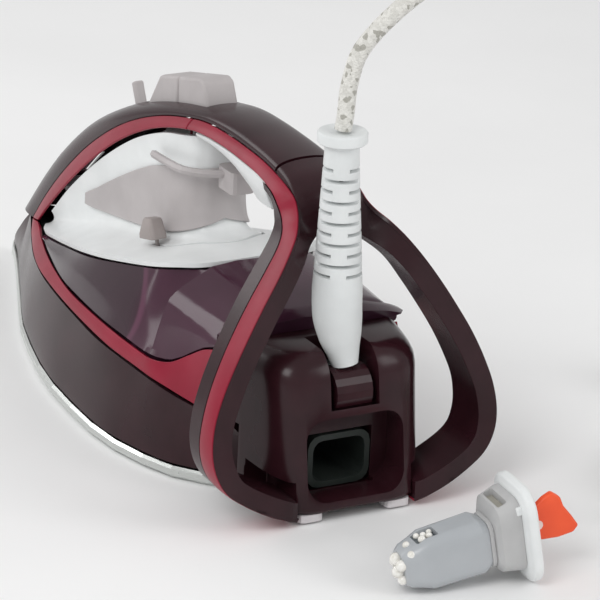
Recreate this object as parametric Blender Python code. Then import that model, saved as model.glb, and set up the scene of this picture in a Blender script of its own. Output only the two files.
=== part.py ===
"""A steam iron with its own water tank, its anti-scale collector lying beside it and its textile cord.

Frame: +X towards the tip of the soleplate, +Y to the iron's left, +Z up. The origin is on the flat
underside of the soleplate. The numbers here are millimetres; MM turns them into metres where a mesh is made.
"""

import math

import bmesh
import bpy
from mathutils import Matrix, Vector

MM = 0.001
GAP = 0.3

# Driving heights and walls
SOLE_TOP = 5.0
CASTING_TOP = 15.0
SHIELD_BOTTOM = 23.0
TANK_BOTTOM = 29.0
WALL = 2.2
TRIM = 1.2
TRIM_SEAT = TRIM + GAP

# Plan of the soleplate: station along X and half width there
SOLE_PLAN = [
    (-115, 0), (-112.5, 20), (-101, 38), (-80, 52), (-42, 59), (0, 56.6), (60, 43.5), (110, 24),
    (150, 7.6), (164, 2.6), (168, 0),
]
# Half width of the body at the top of the skirt and higher up
SHOULDER_PLAN = [
    (-112, 36.5), (-88, 43.5), (-69, 48.5), (-32, 50.2), (9, 46.3), (48, 39.5), (80, 30), (108, 18.8),
    (121, 13.2), (134, 7), (141, 0),
]
# Height of the skirt's upper edge
SKIRT_TOP = [
    (-113, 29.8), (-88, 30.9), (-69, 33.2), (-32, 34), (9, 33.6), (48, 32.2), (90, 28.7), (108, 27.2),
    (124, 30), (141, 30.4),
]
# The deck's seam lies in a plane that drops towards the tip
SEAM_HEIGHT, SEAM_SLOPE = 59.8, -0.248
DISH_RISE = 5.0

# The red trim runs from the nose over the handle and down each heel leg: upper edge, lower edge (left side)
TRIM_ROUTE = [
    ((119.5, 13.0, 33.0), (109.5, 15.2, 35.0)),
    ((102, 15.0, 49.3), (97.2, 16.7, 45.0)),
    ((82, 16.4, 66.4), (76.5, 18.4, 61.4)),
    ((60, 16.6, 83.6), (55, 19.2, 77.6)),
    ((36, 16.6, 98.8), (32, 19.5, 93.0)),
    ((15, 15.4, 109.3), (11, 19.0, 104.6)),
    ((-7, 13.9, 117.1), (-9, 18.2, 113.0)),
    ((-29, 13.0, 122.3), (-30, 17.0, 118.5)),
    ((-43.5, 12.5, 124.2), (-43.7, 16.5, 120.2)),
    ((-60, 12.2, 124.4), (-60, 16.2, 120.4)),
    ((-75, 12.3, 123.9), (-74, 16.2, 119.6)),
    ((-87, 12.5, 123.1), (-85.2, 16.5, 118.9)),
    ((-97, 12.8, 121.7), (-94.5, 17.0, 117.7)),
    ((-106, 13.2, 119.9), (-102.5, 17.6, 115.9)),
    ((-113.5, 13.7, 117.5), (-107.5, 18.0, 113.2)),
    ((-118, 14.5, 114.3), (-111, 18.4, 111.0)),
    ((-122.5, 16.5, 111.3), (-114.5, 19.4, 109.0)),
    ((-128, 20.0, 108.0), (-119, 21.6, 106.4)),
    ((-132, 24.5, 103.0), (-122.5, 25.0, 102.3)),
    ((-135.2, 30.5, 95.3), (-124.8, 30.5, 95.3)),
    ((-137.3, 37.8, 85.0), (-126.5, 37.8, 85.0)),
    ((-139, 44.2, 75.0), (-128, 44.2, 75.0)),
    ((-140.6, 50.2, 64.8), (-129.8, 50.2, 64.8)),
    ((-141.8, 55.2, 54.5), (-131.5, 55.2, 54.5)),
    ((-143.3, 59.0, 44.0), (-133.3, 59.0, 44.0)),
    ((-145, 60.4, 34.0), (-134, 60.4, 34.0)),
    ((-146.5, 59.1, 25.5), (-134.5, 59.1, 25.5)),
    ((-147.5, 55.0, 18.3), (-134.5, 55.0, 18.3)),
    ((-148.3, 48.0, 12.8), (-134, 48.0, 12.8)),
    ((-148.5, 38.5, 7.3), (-133, 38.5, 7.3)),
    ((-148, 30.0, 3.6), (-132, 30.0, 3.6)),
    ((-147, 25.0, 1.8), (-131, 25.0, 1.8)),
]
TRIM_JOINT = 7      # the front trim ends and the rear trim starts at this station
SHELL_END = 12      # the handle's top shell ends and the heel frame starts here
UP = Vector((0.3, 0, 1))    # roughly the outward normal at the front of the handle's top shell
# Ridge of the handle's top shell above each station of TRIM_ROUTE, as (x, z)
CROWN = [
    (139.8, 31.9), (114.5, 56.5), (93, 75), (68.5, 92.5), (42, 105.8), (18.5, 114.8), (-5.5, 121.7),
    (-29, 126.6), (-43.5, 128.7), (-60, 129.2), (-75, 128.5), (-87.5, 127.4), (-97.6, 126.2),
]

# Left flank band from the nose to the heel: lower edge, then upper edge
BAND = [
    ((119, 13.2, 32.7), (110, 15.1, 34.5)), ((112, 17.0, 29.4), (103.5, 17.2, 34.1)),
    ((103, 20.8, 28.9), (96, 20.2, 33.9)), ((88, 27, 30.0), (84, 24.3, 34.2)),
    ((68, 34.2, 31.7), (66, 30.5, 35.8)), ((48, 39.6, 33.4), (45, 36.8, 37.5)),
    ((20, 44.9, 34.7), (18, 43, 38.8)), ((-8, 48.3, 35.1), (-9, 46.4, 40)),
    ((-35, 50.2, 35.2), (-35, 47.9, 40.6)), ((-58, 49.4, 34.9), (-57, 48, 40.8)),
    ((-69, 48.6, 34.5), (-67, 47.6, 41.2)), ((-79, 46.2, 33.5), (-77, 44.6, 43.2)),
    ((-88, 43.6, 32.3), (-86.5, 41.4, 49)), ((-96, 41.2, 31.4), (-95, 40, 54)),
    ((-103.4, 39.2, 30.9), (-103.4, 39.2, 57)),
]

# Height and half width of the tank's edge over the band
TANK_EDGE_HEIGHT = [
    (-103.4, 57), (-95, 54), (-86.5, 49), (-77, 43.2), (-67, 41.2), (-35, 40.6), (18, 38.8), (66, 35.8),
    (110, 34.5),
]
TANK_EDGE_WIDTH = [
    (-103.4, 39.2), (-86.5, 41.4), (-77, 44.6), (-57, 48), (-35, 47.9), (18, 43), (66, 30.5), (96, 20.2),
    (110, 15.1),
]
TANK_STEP = -63.8   # behind this station the tank rises over the heel
# Half width of the tank's top in front of the step
TANK_RIM = [(-63, 24), (-41, 35.5), (1, 37.8), (52, 30), (92, 20.2), (109, 12.8)]

# Left half of the deck from the nose to the heel: its seam with the tank, then its edge under the handle
DECK = [
    ((108, 12.4, 33.7), (97.5, 14.4, 43.0)), ((92, 20.2, 37.2), (76.5, 16.6, 59.8)),
    ((72, 25.6, 42.2), (55, 17.2, 75.9)), ((52, 30, 47.2), (32, 17.5, 91.0)),
    ((27, 34.8, 53.4), (11, 17.1, 102.7)), ((1, 37.8, 59.8), (-9, 16.2, 110.6)),
    ((-22, 37.4, 65.4), (-21, 13.6, 113)), ((-41, 35.5, 70.1), (-27.5, 11.0, 114.2)),
    ((-54, 30.2, 73.4), (-30, 7.6, 114.6)), ((-61, 23.8, 74.9), (-31, 5.2, 114.8)),
    ((-63, 12.4, 75.3), (-31.4, 2.6, 114.9)), ((-62.5, 0, 75.2), (-31.5, 0, 115)),
]

# Height of the lower and upper edge of the grip's cheek
CHEEK_LOW = [(-91.5, 104.4), (-82, 104.2), (-71.5, 108), (-56, 112.6), (-44, 114.2), (-33, 114.6)]
CHEEK_HIGH = [(-91, 115.9), (-85, 117.3), (-74, 118.1), (-60, 118.8), (-44, 118.6), (-33, 117.4)]

# Steam lever on the handle's ridge, which rises towards the rear there
LEVER_PLACE = (43.6, 0.0, 105.2)
LEVER_SLOPE = 26.7  # degrees

# Heel frame from SHELL_END on: front outer edge, inner front edge, inner rear edge
FRAME_EDGES = [
    ((-93, 15.6, 114.2), (-93, 0, 104.4), (-98.3, 0, 126.2)),
    ((-99.5, 16.2, 112.6), (-97, 0, 104.2), (-108.8, 0, 123.2)),
    ((-104.3, 17.4, 110.6), (-100.5, 0, 103.9), (-115.8, 0, 117.6)),
    ((-106.5, 18.2, 108.6), (-103.5, 0, 103.4), (-118.3, 0, 110.5)),
    ((-109, 19.3, 107), (-106.5, 4.5, 102.6), (-119.6, 4.7, 105.8)),
    ((-112.3, 21.6, 105.5), (-110, 10.5, 100), (-123.6, 11.4, 101.8)),
    ((-115, 25, 102), (-114, 16.5, 96.5), (-130.6, 17.6, 97.3)),
    ((-117, 30.5, 95.3), (-116.5, 23.7, 90.3), (-134.6, 23.7, 90.3)),
    ((-118.5, 37.8, 85), (-118, 30.9, 80.4), (-137, 30.9, 80.4)),
    ((-120.2, 44.2, 75), (-119.7, 37.2, 70.7), (-138.8, 37.2, 70.7)),
    ((-122, 50.2, 64.8), (-121.5, 43, 60.9), (-140.4, 43, 60.9)),
    ((-123.5, 55.2, 54.5), (-123, 47.7, 51.3), (-141.8, 47.7, 51.3)),
    ((-125, 59, 44), (-124.5, 51.2, 42), (-143.3, 51.2, 42)),
    ((-126, 60.4, 34), (-125.5, 52.2, 34), (-145, 52.2, 34)),
    ((-127, 59.1, 25.5), (-126.5, 51.3, 28.2), (-146.5, 51.3, 28.2)),
    ((-127.5, 55, 18.3), (-127, 49, 23), (-147.5, 49, 23)),
    ((-128, 48, 12.8), (-127.5, 43.7, 18.9), (-148.3, 43.7, 18.9)),
    ((-128, 38.5, 7.3), (-127.5, 35.2, 14.3), (-148.5, 35.2, 14.3)),
    ((-128, 30, 3.6), (-127.5, 28, 11), (-148, 28, 11)),
    ((-128, 25, 1.8), (-127.5, 25, 9.8), (-147, 25, 9.8)),
]
APEX = 3            # the two legs part after this station of FRAME_EDGES

# Cord: 6.5 mm textile-covered lead
CORD_DIAMETER = 6.5
LEAD_ROUTE = [
    (-130.0, 3.9, 147.4), (-130.3, 3.3, 153), (-130.8, 2.3, 166), (-133.1, -1.7, 179.6), (-140.6, -15.1, 197.1),
    (-150, -31, 210), (-163, -52, 216.5), (-177, -72, 208), (-187, -84, 186), (-191, -89, 152), (-194, -91, 106),
    (-197, -93, 58), (-200, -97.5, 27), (-206.2, -104.8, 9.0), (-215.2, -112.8, 4.4),
]
COIL_CENTRE = (-184.0, -149.0)
COIL_MEAN_RADIUS = 34.0
COIL_WIDTH, COIL_BOTTOM, COIL_TOP = 19.5, 1.7, 18.0
TAIL_ROUTE = [
    (-171.6, -195.2, 3.9), (-163.5, -193.0, 5.2), (-155, -190.6, 9.2), (-147, -188.8, 14.4), (-140.5, -188.0, 17.9),
    (-136.5, -188, 18.7), (-134.9, -188, 18.8),
]
PLUG_CENTRE = (-134.0, -188.0, 18.8)

# Selector: it turns in a plane parallel to the deck, round the foot of the handle's front column
DIAL_CENTRE = (-18.91, 0.0, 69.52)
DIAL_TILT = 13.9    # degrees about Y
DIAL_RADIUS = 22.0
KNOB_REST = 87.6    # the knob's place on the arc at rest, in degrees from the front
# The knob from its stem upwards: height over the dial's plane, size across and along the slot, shift outwards
KNOB_LEVELS = [
    (-4.5, 2.2, 3.0, 0.0), (1.2, 2.2, 3.0, 0.0), (1.25, 7.6, 11.5, 1.7), (3.0, 7.6, 11.5, 1.7),
    (8.6, 6.2, 7.0, 1.2), (9.4, 5.0, 5.8, 1.2),
]

SOCKET_HEIGHT = 17.6    # axis of the collector's socket in the heel

# Cord boot and its swivel
SWIVEL = (-133.0, 0.0, 47.0)
BOOT = [
    ((-133, 0, 56.4), 5.0), ((-132.2, 0.7, 61), 6.2), ((-131.2, 1.9, 68), 8.2), ((-130.3, 2.8, 76), 9.3),
    ((-130, 3.1, 84), 9.4), ((-130, 3.3, 93), 9.0), ((-130, 3.4, 104), 8.4), ((-130, 3.6, 116), 7.7),
    ((-130, 3.8, 129), 7.0), ((-130, 3.9, 139), 6.5), ((-130, 3.9, 142.4), 6.6), ((-130, 3.9, 143), 9.4),
    ((-130, 3.9, 147), 9.4),
]

# Collector, in its own frame: length from the nose, half height and half width
COLLECTOR_PLACE = (-210.3, 17.8, 9.6)
COLLECTOR_YAW, COLLECTOR_PITCH = -95.3, -10.9


def material(name, colour, roughness, metallic=0.0):
    made = bpy.data.materials.new(name)
    made.use_nodes = True
    shader = made.node_tree.nodes["Principled BSDF"]
    shader.inputs["Base Color"].default_value = (*colour, 1.0)
    shader.inputs["Roughness"].default_value = roughness
    shader.inputs["Metallic"].default_value = metallic
    return made


def along(table, x):
    """Smooth value of a station table at x, with no overshoot between its stations."""
    if x <= table[0][0]:
        return table[0][1]
    if x >= table[-1][0]:
        return table[-1][1]
    slopes = [(b[1] - a[1]) / (b[0] - a[0]) for a, b in zip(table, table[1:])]
    tangents = [slopes[0]]
    for before, after in zip(slopes, slopes[1:]):
        tangents.append(0.0 if before * after <= 0 else 2 * before * after / (before + after))
    tangents.append(slopes[-1])
    i = max(k for k in range(len(slopes)) if table[k][0] <= x)
    span = table[i + 1][0] - table[i][0]
    t = (x - table[i][0]) / span
    return (
        table[i][1] * (1 + 2 * t) * (1 - t) ** 2
        + tangents[i] * span * t * (1 - t) ** 2
        + table[i + 1][1] * t * t * (3 - 2 * t)
        - tangents[i + 1] * span * t * t * (1 - t)
    )


def between(points, t):
    """Point at parameter t on the Catmull-Rom curve through points, which lie at t = 0, 1, 2 and so on."""
    i = min(int(t), len(points) - 2)
    f = t - i
    p1, p2 = Vector(points[i]), Vector(points[i + 1])
    p0 = Vector(points[i - 1]) if i else 2 * p1 - p2
    p3 = Vector(points[i + 2]) if i + 2 < len(points) else 2 * p2 - p1
    square, cube = 2 * p0 - 5 * p1 + 4 * p2 - p3, 3 * p1 - p0 - 3 * p2 + p3
    return 0.5 * (2 * p1 + (p2 - p0) * f + square * f * f + cube * f ** 3)


def steps(first, last, count):
    return [first + (last - first) * k / (count - 1) for k in range(count)]


def even_path(points, count):
    """count points at equal distances along the smooth curve through points."""
    fine = [between(points, t) for t in steps(0, len(points) - 1, 40 * len(points))]
    reach = [0.0]
    for a, b in zip(fine, fine[1:]):
        reach.append(reach[-1] + (b - a).length)
    path, k = [], 0
    for wanted in steps(0, reach[-1], count):
        while k < len(fine) - 2 and reach[k + 1] < wanted:
            k += 1
        share = (wanted - reach[k]) / (reach[k + 1] - reach[k])
        path.append(fine[k].lerp(fine[k + 1], share))
    return path


def face_outwards(work):
    bmesh.ops.recalc_face_normals(work, faces=work.faces)
    if work.calc_volume(signed=True) < 0:
        bmesh.ops.reverse_faces(work, faces=work.faces)


def build(name, points, faces, look, smooth_angle=35):
    """A closed mesh object from points in millimetres, with its faces turned outwards."""
    mesh = bpy.data.meshes.new(name)
    mesh.from_pydata([tuple(Vector(p) * MM) for p in points], [], faces)
    work = bmesh.new()
    work.from_mesh(mesh)
    face_outwards(work)
    work.to_mesh(mesh)
    work.free()
    mesh.shade_smooth()
    mesh.set_sharp_from_angle(angle=math.radians(smooth_angle))
    mesh.materials.append(look)
    made = bpy.data.objects.new(name, mesh)
    bpy.context.scene.collection.objects.link(made)
    return made


def loft(name, rings, look, closed_loop=False):
    """A solid through closed rings of equally many points, capped at both ends unless it closes on itself."""
    count = len(rings[0])
    points = [p for ring in rings for p in ring]
    faces = []
    pairs = len(rings) if closed_loop else len(rings) - 1
    for i in range(pairs):
        a, b = i * count, ((i + 1) % len(rings)) * count
        for j in range(count):
            k = (j + 1) % count
            faces.append((a + j, a + k, b + k, b + j))
    if not closed_loop:
        faces.append(tuple(range(count)))
        faces.append(tuple(range(len(points) - 1, len(points) - 1 - count, -1)))
    return build(name, points, faces, look)


def grid_normals(grid, outward):
    """Unit normals of a grid of points; outward is roughly the normal wanted at its first point."""
    rows, columns = len(grid), len(grid[0])
    normals = []
    for i in range(rows):
        line = []
        for j in range(columns):
            across = grid[min(i + 1, rows - 1)][j] - grid[max(i - 1, 0)][j]
            onward = grid[i][min(j + 1, columns - 1)] - grid[i][max(j - 1, 0)]
            line.append(onward.cross(across).normalized())
        normals.append(line)
    sign = 1.0 if normals[0][0].dot(Vector(outward)) > 0 else -1.0
    return [[n * sign for n in line] for line in normals]


def shell(name, grid, thickness, look, outward):
    """A skin of even thickness under a grid of outer points."""
    grid = [[Vector(p) for p in row] for row in grid]
    normals = grid_normals(grid, outward)
    inner = [[p - n * thickness for p, n in zip(row, line)] for row, line in zip(grid, normals)]
    rows, columns = len(grid), len(grid[0])
    size = rows * columns
    points = [p for row in grid for p in row] + [p for row in inner for p in row]
    faces = []
    for i in range(rows - 1):
        for j in range(columns - 1):
            a, b, c, d = i * columns + j, i * columns + j + 1, (i + 1) * columns + j + 1, (i + 1) * columns + j
            faces.append((a, b, c, d))
            faces.append((size + a, size + d, size + c, size + b))
    for j in range(columns - 1):
        last = (rows - 1) * columns
        faces.append((j, size + j, size + j + 1, j + 1))
        faces.append((last + j, last + j + 1, size + last + j + 1, size + last + j))
    for i in range(rows - 1):
        for j in (0, columns - 1):
            a, d = i * columns + j, (i + 1) * columns + j
            faces.append((a, d, size + d, size + a))
    return build(name, points, faces, look)


def mirrored(grid):
    return [[Vector((p[0], -p[1], p[2])) for p in row] for row in grid]


def circle(centre, radius, count, along_axis="Z"):
    """A ring of points round an axis."""
    ring = []
    for k in range(count):
        a = 2 * math.pi * (k + 0.5) / count
        u, v = radius * math.cos(a), radius * math.sin(a)
        offset = {"X": (0, u, v), "Y": (u, 0, v), "Z": (u, v, 0)}[along_axis]
        ring.append(Vector(centre) + Vector(offset))
    return ring


def rounded_rectangle(width, height, radius, corner_steps=2):
    """Points (u, v) of a rectangle with round corners about the origin."""
    points = []
    for sx, sy, first in ((1, 1, 0), (-1, 1, 90), (-1, -1, 180), (1, -1, 270)):
        for k in range(corner_steps + 1):
            a = math.radians(first + 90 * k / corner_steps)
            points.append((
                sx * (width / 2 - radius) + radius * math.cos(a),
                sy * (height / 2 - radius) + radius * math.sin(a),
            ))
    return points


def block(name, low, high, look, radius=1.0):
    """A box with its four upright edges rounded."""
    width, depth = high[0] - low[0], high[1] - low[1]
    cx, cy = (high[0] + low[0]) / 2, (high[1] + low[1]) / 2
    plan = rounded_rectangle(width, depth, radius)
    rings = [[Vector((cx + u, cy + v, z)) for u, v in plan] for z in (low[2], high[2])]
    return loft(name, rings, look)


def cylinder(name, start, axis, radius, length, look, count=12):
    centre = Vector(start)
    offset = {"X": Vector((length, 0, 0)), "Y": Vector((0, length, 0)), "Z": Vector((0, 0, length))}[axis]
    return loft(name, [circle(centre, radius, count, axis), circle(centre + offset, radius, count, axis)], look)


def turned(name, profile, centre, look, count=16):
    """A solid of revolution about +Z; profile is (radius, height) from the bottom up, closed by caps."""
    rings = [circle(Vector(centre) + Vector((0, 0, h)), r, count) for r, h in profile]
    return loft(name, rings, look)


def tube(name, route, radius, look, count, sides=8):
    """A round bar along the smooth curve through route."""
    path = even_path(route, count)
    rings, side = [], None
    for i, p in enumerate(path):
        ahead = (path[min(i + 1, count - 1)] - path[max(i - 1, 0)]).normalized()
        if side is None:
            side = ahead.orthogonal().normalized()
        side = (side - ahead * side.dot(ahead)).normalized()
        other = ahead.cross(side)
        rings.append([
            p + radius * (side * math.cos(2 * math.pi * k / sides) + other * math.sin(2 * math.pi * k / sides))
            for k in range(sides)
        ])
    return loft(name, rings, look)


def boolean(target, tool, operation="DIFFERENCE"):
    """Applies tool to target and hides it."""
    if not target.modifiers:
        target.modifiers.new("triangles", "TRIANGULATE")
    modifier = target.modifiers.new(operation.lower(), "BOOLEAN")
    modifier.operation = operation
    modifier.object = tool
    tool.hide_render = True
    tool.display_type = "WIRE"


def pivot(name, place, turn=(0, 0, 0)):
    """An empty on a joint's axis, which carries the pieces that move on it."""
    empty = bpy.data.objects.new(name, None)
    empty.location = Vector(place) * MM
    empty.rotation_euler = [math.radians(a) for a in turn]
    bpy.context.scene.collection.objects.link(empty)
    return empty


def carry(empty, *pieces):
    """Parents pieces that were made in world coordinates, with no move."""
    bpy.context.view_layer.update()
    for piece in pieces:
        piece.parent = empty
        piece.matrix_parent_inverse = empty.matrix_world.inverted()


def seam_height(x):
    return SEAM_HEIGHT + SEAM_SLOPE * x


def sole_outline(inset, count=20):
    """Closed plan of the soleplate, drawn in by inset."""
    rear, tip = -115 + inset, 168 - 2.2 * inset
    left = []
    for k in range(1, count):
        x = rear + (tip - rear) * (1 - math.cos(math.pi * k / count)) / 2
        left.append((x, max(along(SOLE_PLAN, x) - inset, 1.0)))
    return [(rear, 0.0)] + left + [(tip, 0.0)] + [(x, -y) for x, y in reversed(left)]


def flat_prism(name, outline_levels, look):
    """A solid between plans at stated heights; every plan has equally many points."""
    return loft(name, [[Vector((x, y, z)) for x, y in plan] for plan, z in outline_levels], look)


def steam_hole_places():
    """Two rows that follow the edge of the soleplate, and two holes in the nose."""
    places = [(132, 0), (118, 0)]
    for x in (104, 82, 58, 32, 4, -26, -56):
        y = along(SOLE_PLAN, x) - 13
        places += [(x, y), (x, -y)]
    return places


def drill(target, name, places, radius, low, high, look):
    """Upright round holes through target at places (x, y)."""
    for k, (x, y) in enumerate(places):
        boolean(target, cylinder(f"{name}_tool_{k}", (x, y, low), "Z", radius, high - low, look, 8))


def base_parts(looks):
    plan = sole_outline(0)
    sole = flat_prism("soleplate", [
        ([(x * 0.99, y * 0.97) for x, y in plan], 0.0), (plan, 1.5), (plan, 4.0),
        ([(x * 0.995, y * 0.98) for x, y in plan], SOLE_TOP),
    ], looks["sole"])
    work = bmesh.new()
    for x, y in steam_hole_places():
        bmesh.ops.create_cone(
            work, cap_ends=True, segments=6, radius1=1.5 * MM, radius2=1.5 * MM, depth=8 * MM,
            matrix=Matrix.Translation(Vector((x, y, 2.5)) * MM),
        )
    holes = bpy.data.meshes.new("steam_hole_tools")
    work.to_mesh(holes)
    work.free()
    tool = bpy.data.objects.new("steam_hole_tools", holes)
    bpy.context.scene.collection.objects.link(tool)
    boolean(sole, tool)

    screws = [(80, 0), (-56, 0)]
    casting = flat_prism(
        "heater_casting", [(sole_outline(9), SOLE_TOP + GAP), (sole_outline(10.5), CASTING_TOP)],
        looks["casting"],
    )
    boolean(casting, block("casting_notch", (-130, -15.5, 0), (-72, 15.5, 40), looks["casting"]))
    drill(casting, "casting_bore", screws, 1.9, 9.6, 30, looks["casting"])
    half = [(-66, 28, 18.7), (-40, 33, 18.7), (20, 30, 18.7), (75, 16, 18.7), (96, 0, 18.7)]
    route = half + [(x, -y, z) for x, y, z in reversed(half[:-1])]
    tube("heating_element", route, 3.2, looks["steel"], 40, 6)
    lid = [(-46, 20), (-40, 23), (10, 20), (55, 11), (70, 4)]
    lid += [(x, -y) for x, y in reversed(lid)]
    flat_prism("steam_chamber_lid", [(lid, CASTING_TOP + GAP), (lid, 17.0)], looks["steel"])
    turned("thermostat", [(9, 0), (9, 3.2), (5, 4.4)], (20, 0, 17.3), looks["brass"], 12)
    cylinder("thermal_fuse", (-26, 8, 19.6), "X", 2.1, 16, looks["porcelain"], 8)
    shield = flat_prism(
        "heat_shield", [(sole_outline(11), SHIELD_BOTTOM), (sole_outline(11.5), 25.4)], looks["phenolic"]
    )
    boolean(shield, block("shield_notch", (-130, -15.5, 0), (-72, 15.5, 40), looks["phenolic"]))
    drill(shield, "shield_bore", screws, 1.9, 20, 30, looks["phenolic"])
    for name, (x, y) in zip(("shield_screw_front", "shield_screw_rear"), screws):
        turned(name, [(1.6, 0), (1.6, 15.7), (3.4, 15.7), (3.4, 17.4)], (x, y, 10), looks["steel"], 8)


def skirt_grid(levels=5, stations=24):
    """Outer face of the skirt from its left rear end round the nose to its right rear end."""
    left = []
    for k in range(stations):
        t = math.sin(0.5 * math.pi * k / (stations - 1))
        column = []
        for share in steps(0, 1, levels):
            tip = 166.0 - 25.0 * share ** 0.9
            x = -112.5 + (tip + 112.5) * t
            low, high = along(SOLE_PLAN, x) - 1.2, along(SHOULDER_PLAN, x)
            width = low + (high - low) * share ** 1.35
            height = SOLE_TOP + 1.0 + (along(SKIRT_TOP, x) - SOLE_TOP - 1.0) * share
            start = 118.0
            if x > start:
                low, high = along(SOLE_PLAN, start) - 1.2, along(SHOULDER_PLAN, start)
                wide = low + (high - low) * share ** 1.35
                width = min(width, wide * math.sqrt(max(0.0, 1 - ((x - start) / (tip - start)) ** 2)))
            column.append(Vector((x, width if k < stations - 1 else 0.0, height)))
        left.append(column)
    return left + [[Vector((p.x, -p.y, p.z)) for p in column] for column in reversed(left[:-1])]


def band_grid(stations=24, across=3):
    """Outer face of the left flank band, from its lower edge to its upper edge."""
    grid = []
    for t in steps(0, len(BAND) - 1, stations):
        low, high = between([b[0] for b in BAND], t), between([b[1] for b in BAND], t)
        row = []
        for share in steps(0, 1, across):
            point = low.lerp(high, share)
            point.y += 0.05 * (high - low).length * 4 * share * (1 - share)
            row.append(point)
        grid.append(row)
    return grid


def tank_ring(x, lift=None):
    """Section of the tank at station x; lift raises everything below it, for the tail over the heel."""
    shoulder = along(SHOULDER_PLAN, x) - 4.2
    band_z, band_y = along(TANK_EDGE_HEIGHT, x), along(TANK_EDGE_WIDTH, x)
    low = min(shoulder, band_y - 4.0)
    top = seam_height(x) - 2.7
    if x > TANK_STEP:
        band_z = min(band_z, top - 1.2)
    half = [(low - 2, TANK_BOTTOM), (low, TANK_BOTTOM + 1.8)]
    half += [(band_y - 4.0, band_z - 0.9), (band_y - 0.8, band_z + 0.9)]
    if x > TANK_STEP:
        rim = along(TANK_RIM, x)
        half += [((band_y + rim) / 2 + 0.3, (band_z + top) / 2), (rim - 0.7, top), (rim * 0.5, top), (0, top)]
    else:
        half += [
            (along([(-100, 38.6), (-63, 41.2)], x), max(59.0, band_z + 1.4)),
            (along([(-112, 31), (-63, 36.5)], x), 66),
            (along([(-112, 17), (-63, 21)], x), along([(-112, 68.5), (-80, 73), (-63, 74.4)], x)),
            (0, along([(-112, 69), (-80, 74), (-63, 75.2)], x)),
        ]
    if lift:
        half = [(y, max(z, lift + 0.6 * k)) for k, (y, z) in enumerate(half)]
    return [Vector((x, y, z)) for y, z in half] + [Vector((x, -y, z)) for y, z in reversed(half[:-1])]


def tank_rings():
    stations = [-111, -108, -103.8, -103.4, -95, -86, -77, -68, -64.2, -63.7]
    stations += [-50, -35, -10, 18, 45, 66, 82, 90, 96]
    rings = [tank_ring(x, 61.0 if x < -103.5 else None) for x in stations]
    rings[0] = [Vector((-111.5, p.y * 0.93, 65 + (p.z - 65) * 0.7)) for p in rings[0]]
    return rings


def water_tank(looks):
    tank = loft("water_tank", tank_rings(), looks["tank"])
    hollow = []
    for x in (-99, -88, -74, -66, -60, -38, -12, 16, 43, 64, 80, 92):
        ring = tank_ring(x)
        hollow.append([Vector((p.x, p.y * 0.9, 47 + (p.z - 47) * 0.8)) for p in ring])
    boolean(tank, loft("tank_hollow", hollow, looks["tank"]))
    boolean(tank, cylinder("filler_hole", (86, 0, 30), "Z", 4.8, 30, looks["tank"], 16))
    return tank


def deck_point(u, v):
    """Point of the left half of the deck's outer face: u along the seam from the front, v upwards from it."""
    seam = between([d[0] for d in DECK], u)
    top = between([d[1] for d in DECK], u)
    spine = Vector((min(max(seam.x - 4, -14.0), 80.0), 0, seam.z))
    reach = min(1.0, (top.z - seam.z) / 38.0)
    first = seam.lerp(top, 0.3).lerp(seam.lerp(spine, 0.37), reach)
    second = seam.lerp(top, 0.6).lerp(seam.lerp(spine, 0.74), reach)
    place = seam * (1 - v) ** 3 + first * 3 * v * (1 - v) ** 2 + second * 3 * v * v * (1 - v) + top * v ** 3
    rise = DISH_RISE * reach
    climb = top.z - seam_height(top.x) - rise
    place.z = seam_height(place.x) + (seam.z - seam_height(seam.x)) * (1 - v)
    place.z += rise * (1 - (1 - v) ** 2) + climb * v ** (1.2 + 4.8 * reach)
    return place


def whole_low(u):
    return 0.0


def whole_high(u):
    return 1.0


def deck_grid(columns, rows, first, low, high):
    """Deck surface from the left front round the rear to the right front; low and high give v over u."""
    last = len(DECK) - 1
    grid = []
    for k in range(rows):
        row = []
        for u in steps(first, last, columns):
            row.append(deck_point(u, low(u) + (high(u) - low(u)) * k / (rows - 1)))
        row[-1].y = 0.0
        grid.append(row + [Vector((p.x, -p.y, p.z)) for p in reversed(row[:-1])])
    return grid


def trim_pair(t):
    """Upper and lower edge of the left trim at station t, and the unit normal of its face."""
    upper, lower = between([p[0] for p in TRIM_ROUTE], t), between([p[1] for p in TRIM_ROUTE], t)
    last = len(TRIM_ROUTE) - 1
    edge = [p[0] for p in TRIM_ROUTE]
    ahead = between(edge, min(t + 0.25, last)) - between(edge, max(t - 0.25, 0))
    return upper, lower, ahead.cross(lower - upper).normalized() * -1.0


def trim_grid(first, last, rows):
    grid = []
    for t in steps(first, last, rows):
        upper, lower, _ = trim_pair(t)
        across = (lower - upper).normalized() * GAP
        grid.append([upper + across, (upper + lower) / 2, lower - across])
    return grid


def crown_point(t, angle):
    """Point of the handle's top shell: angle 0 at the left edge, pi at the right edge."""
    edge = between([p[0] for p in TRIM_ROUTE[:SHELL_END + 1]], t)
    ridge = between([Vector((x, 0, z)) for x, z in CROWN], t)
    rise = math.sin(angle) ** 0.8 if 0 < angle < math.pi else 0.0
    x, z = edge.x + (ridge.x - edge.x) * rise, edge.z + (ridge.z - edge.z) * rise
    return Vector((x, edge.y * math.cos(angle), z))


def crown_grid(first, last, rows, columns, start=0.0, end=math.pi):
    return [[crown_point(t, a) for a in steps(start, end, columns)] for t in steps(first, last, rows)]


def crown_patch(name, first, last, rise, depth, start, look):
    """A plate over the handle's top shell: rise above its face, depth thick, from angle start to pi - start."""
    grid = crown_grid(first, last, 5, 7, start, math.pi - start)
    normals = grid_normals(grid, UP)
    lifted = [[p + n * rise for p, n in zip(row, line)] for row, line in zip(grid, normals)]
    return shell(name, lifted, depth, look, outward=UP)


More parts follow.
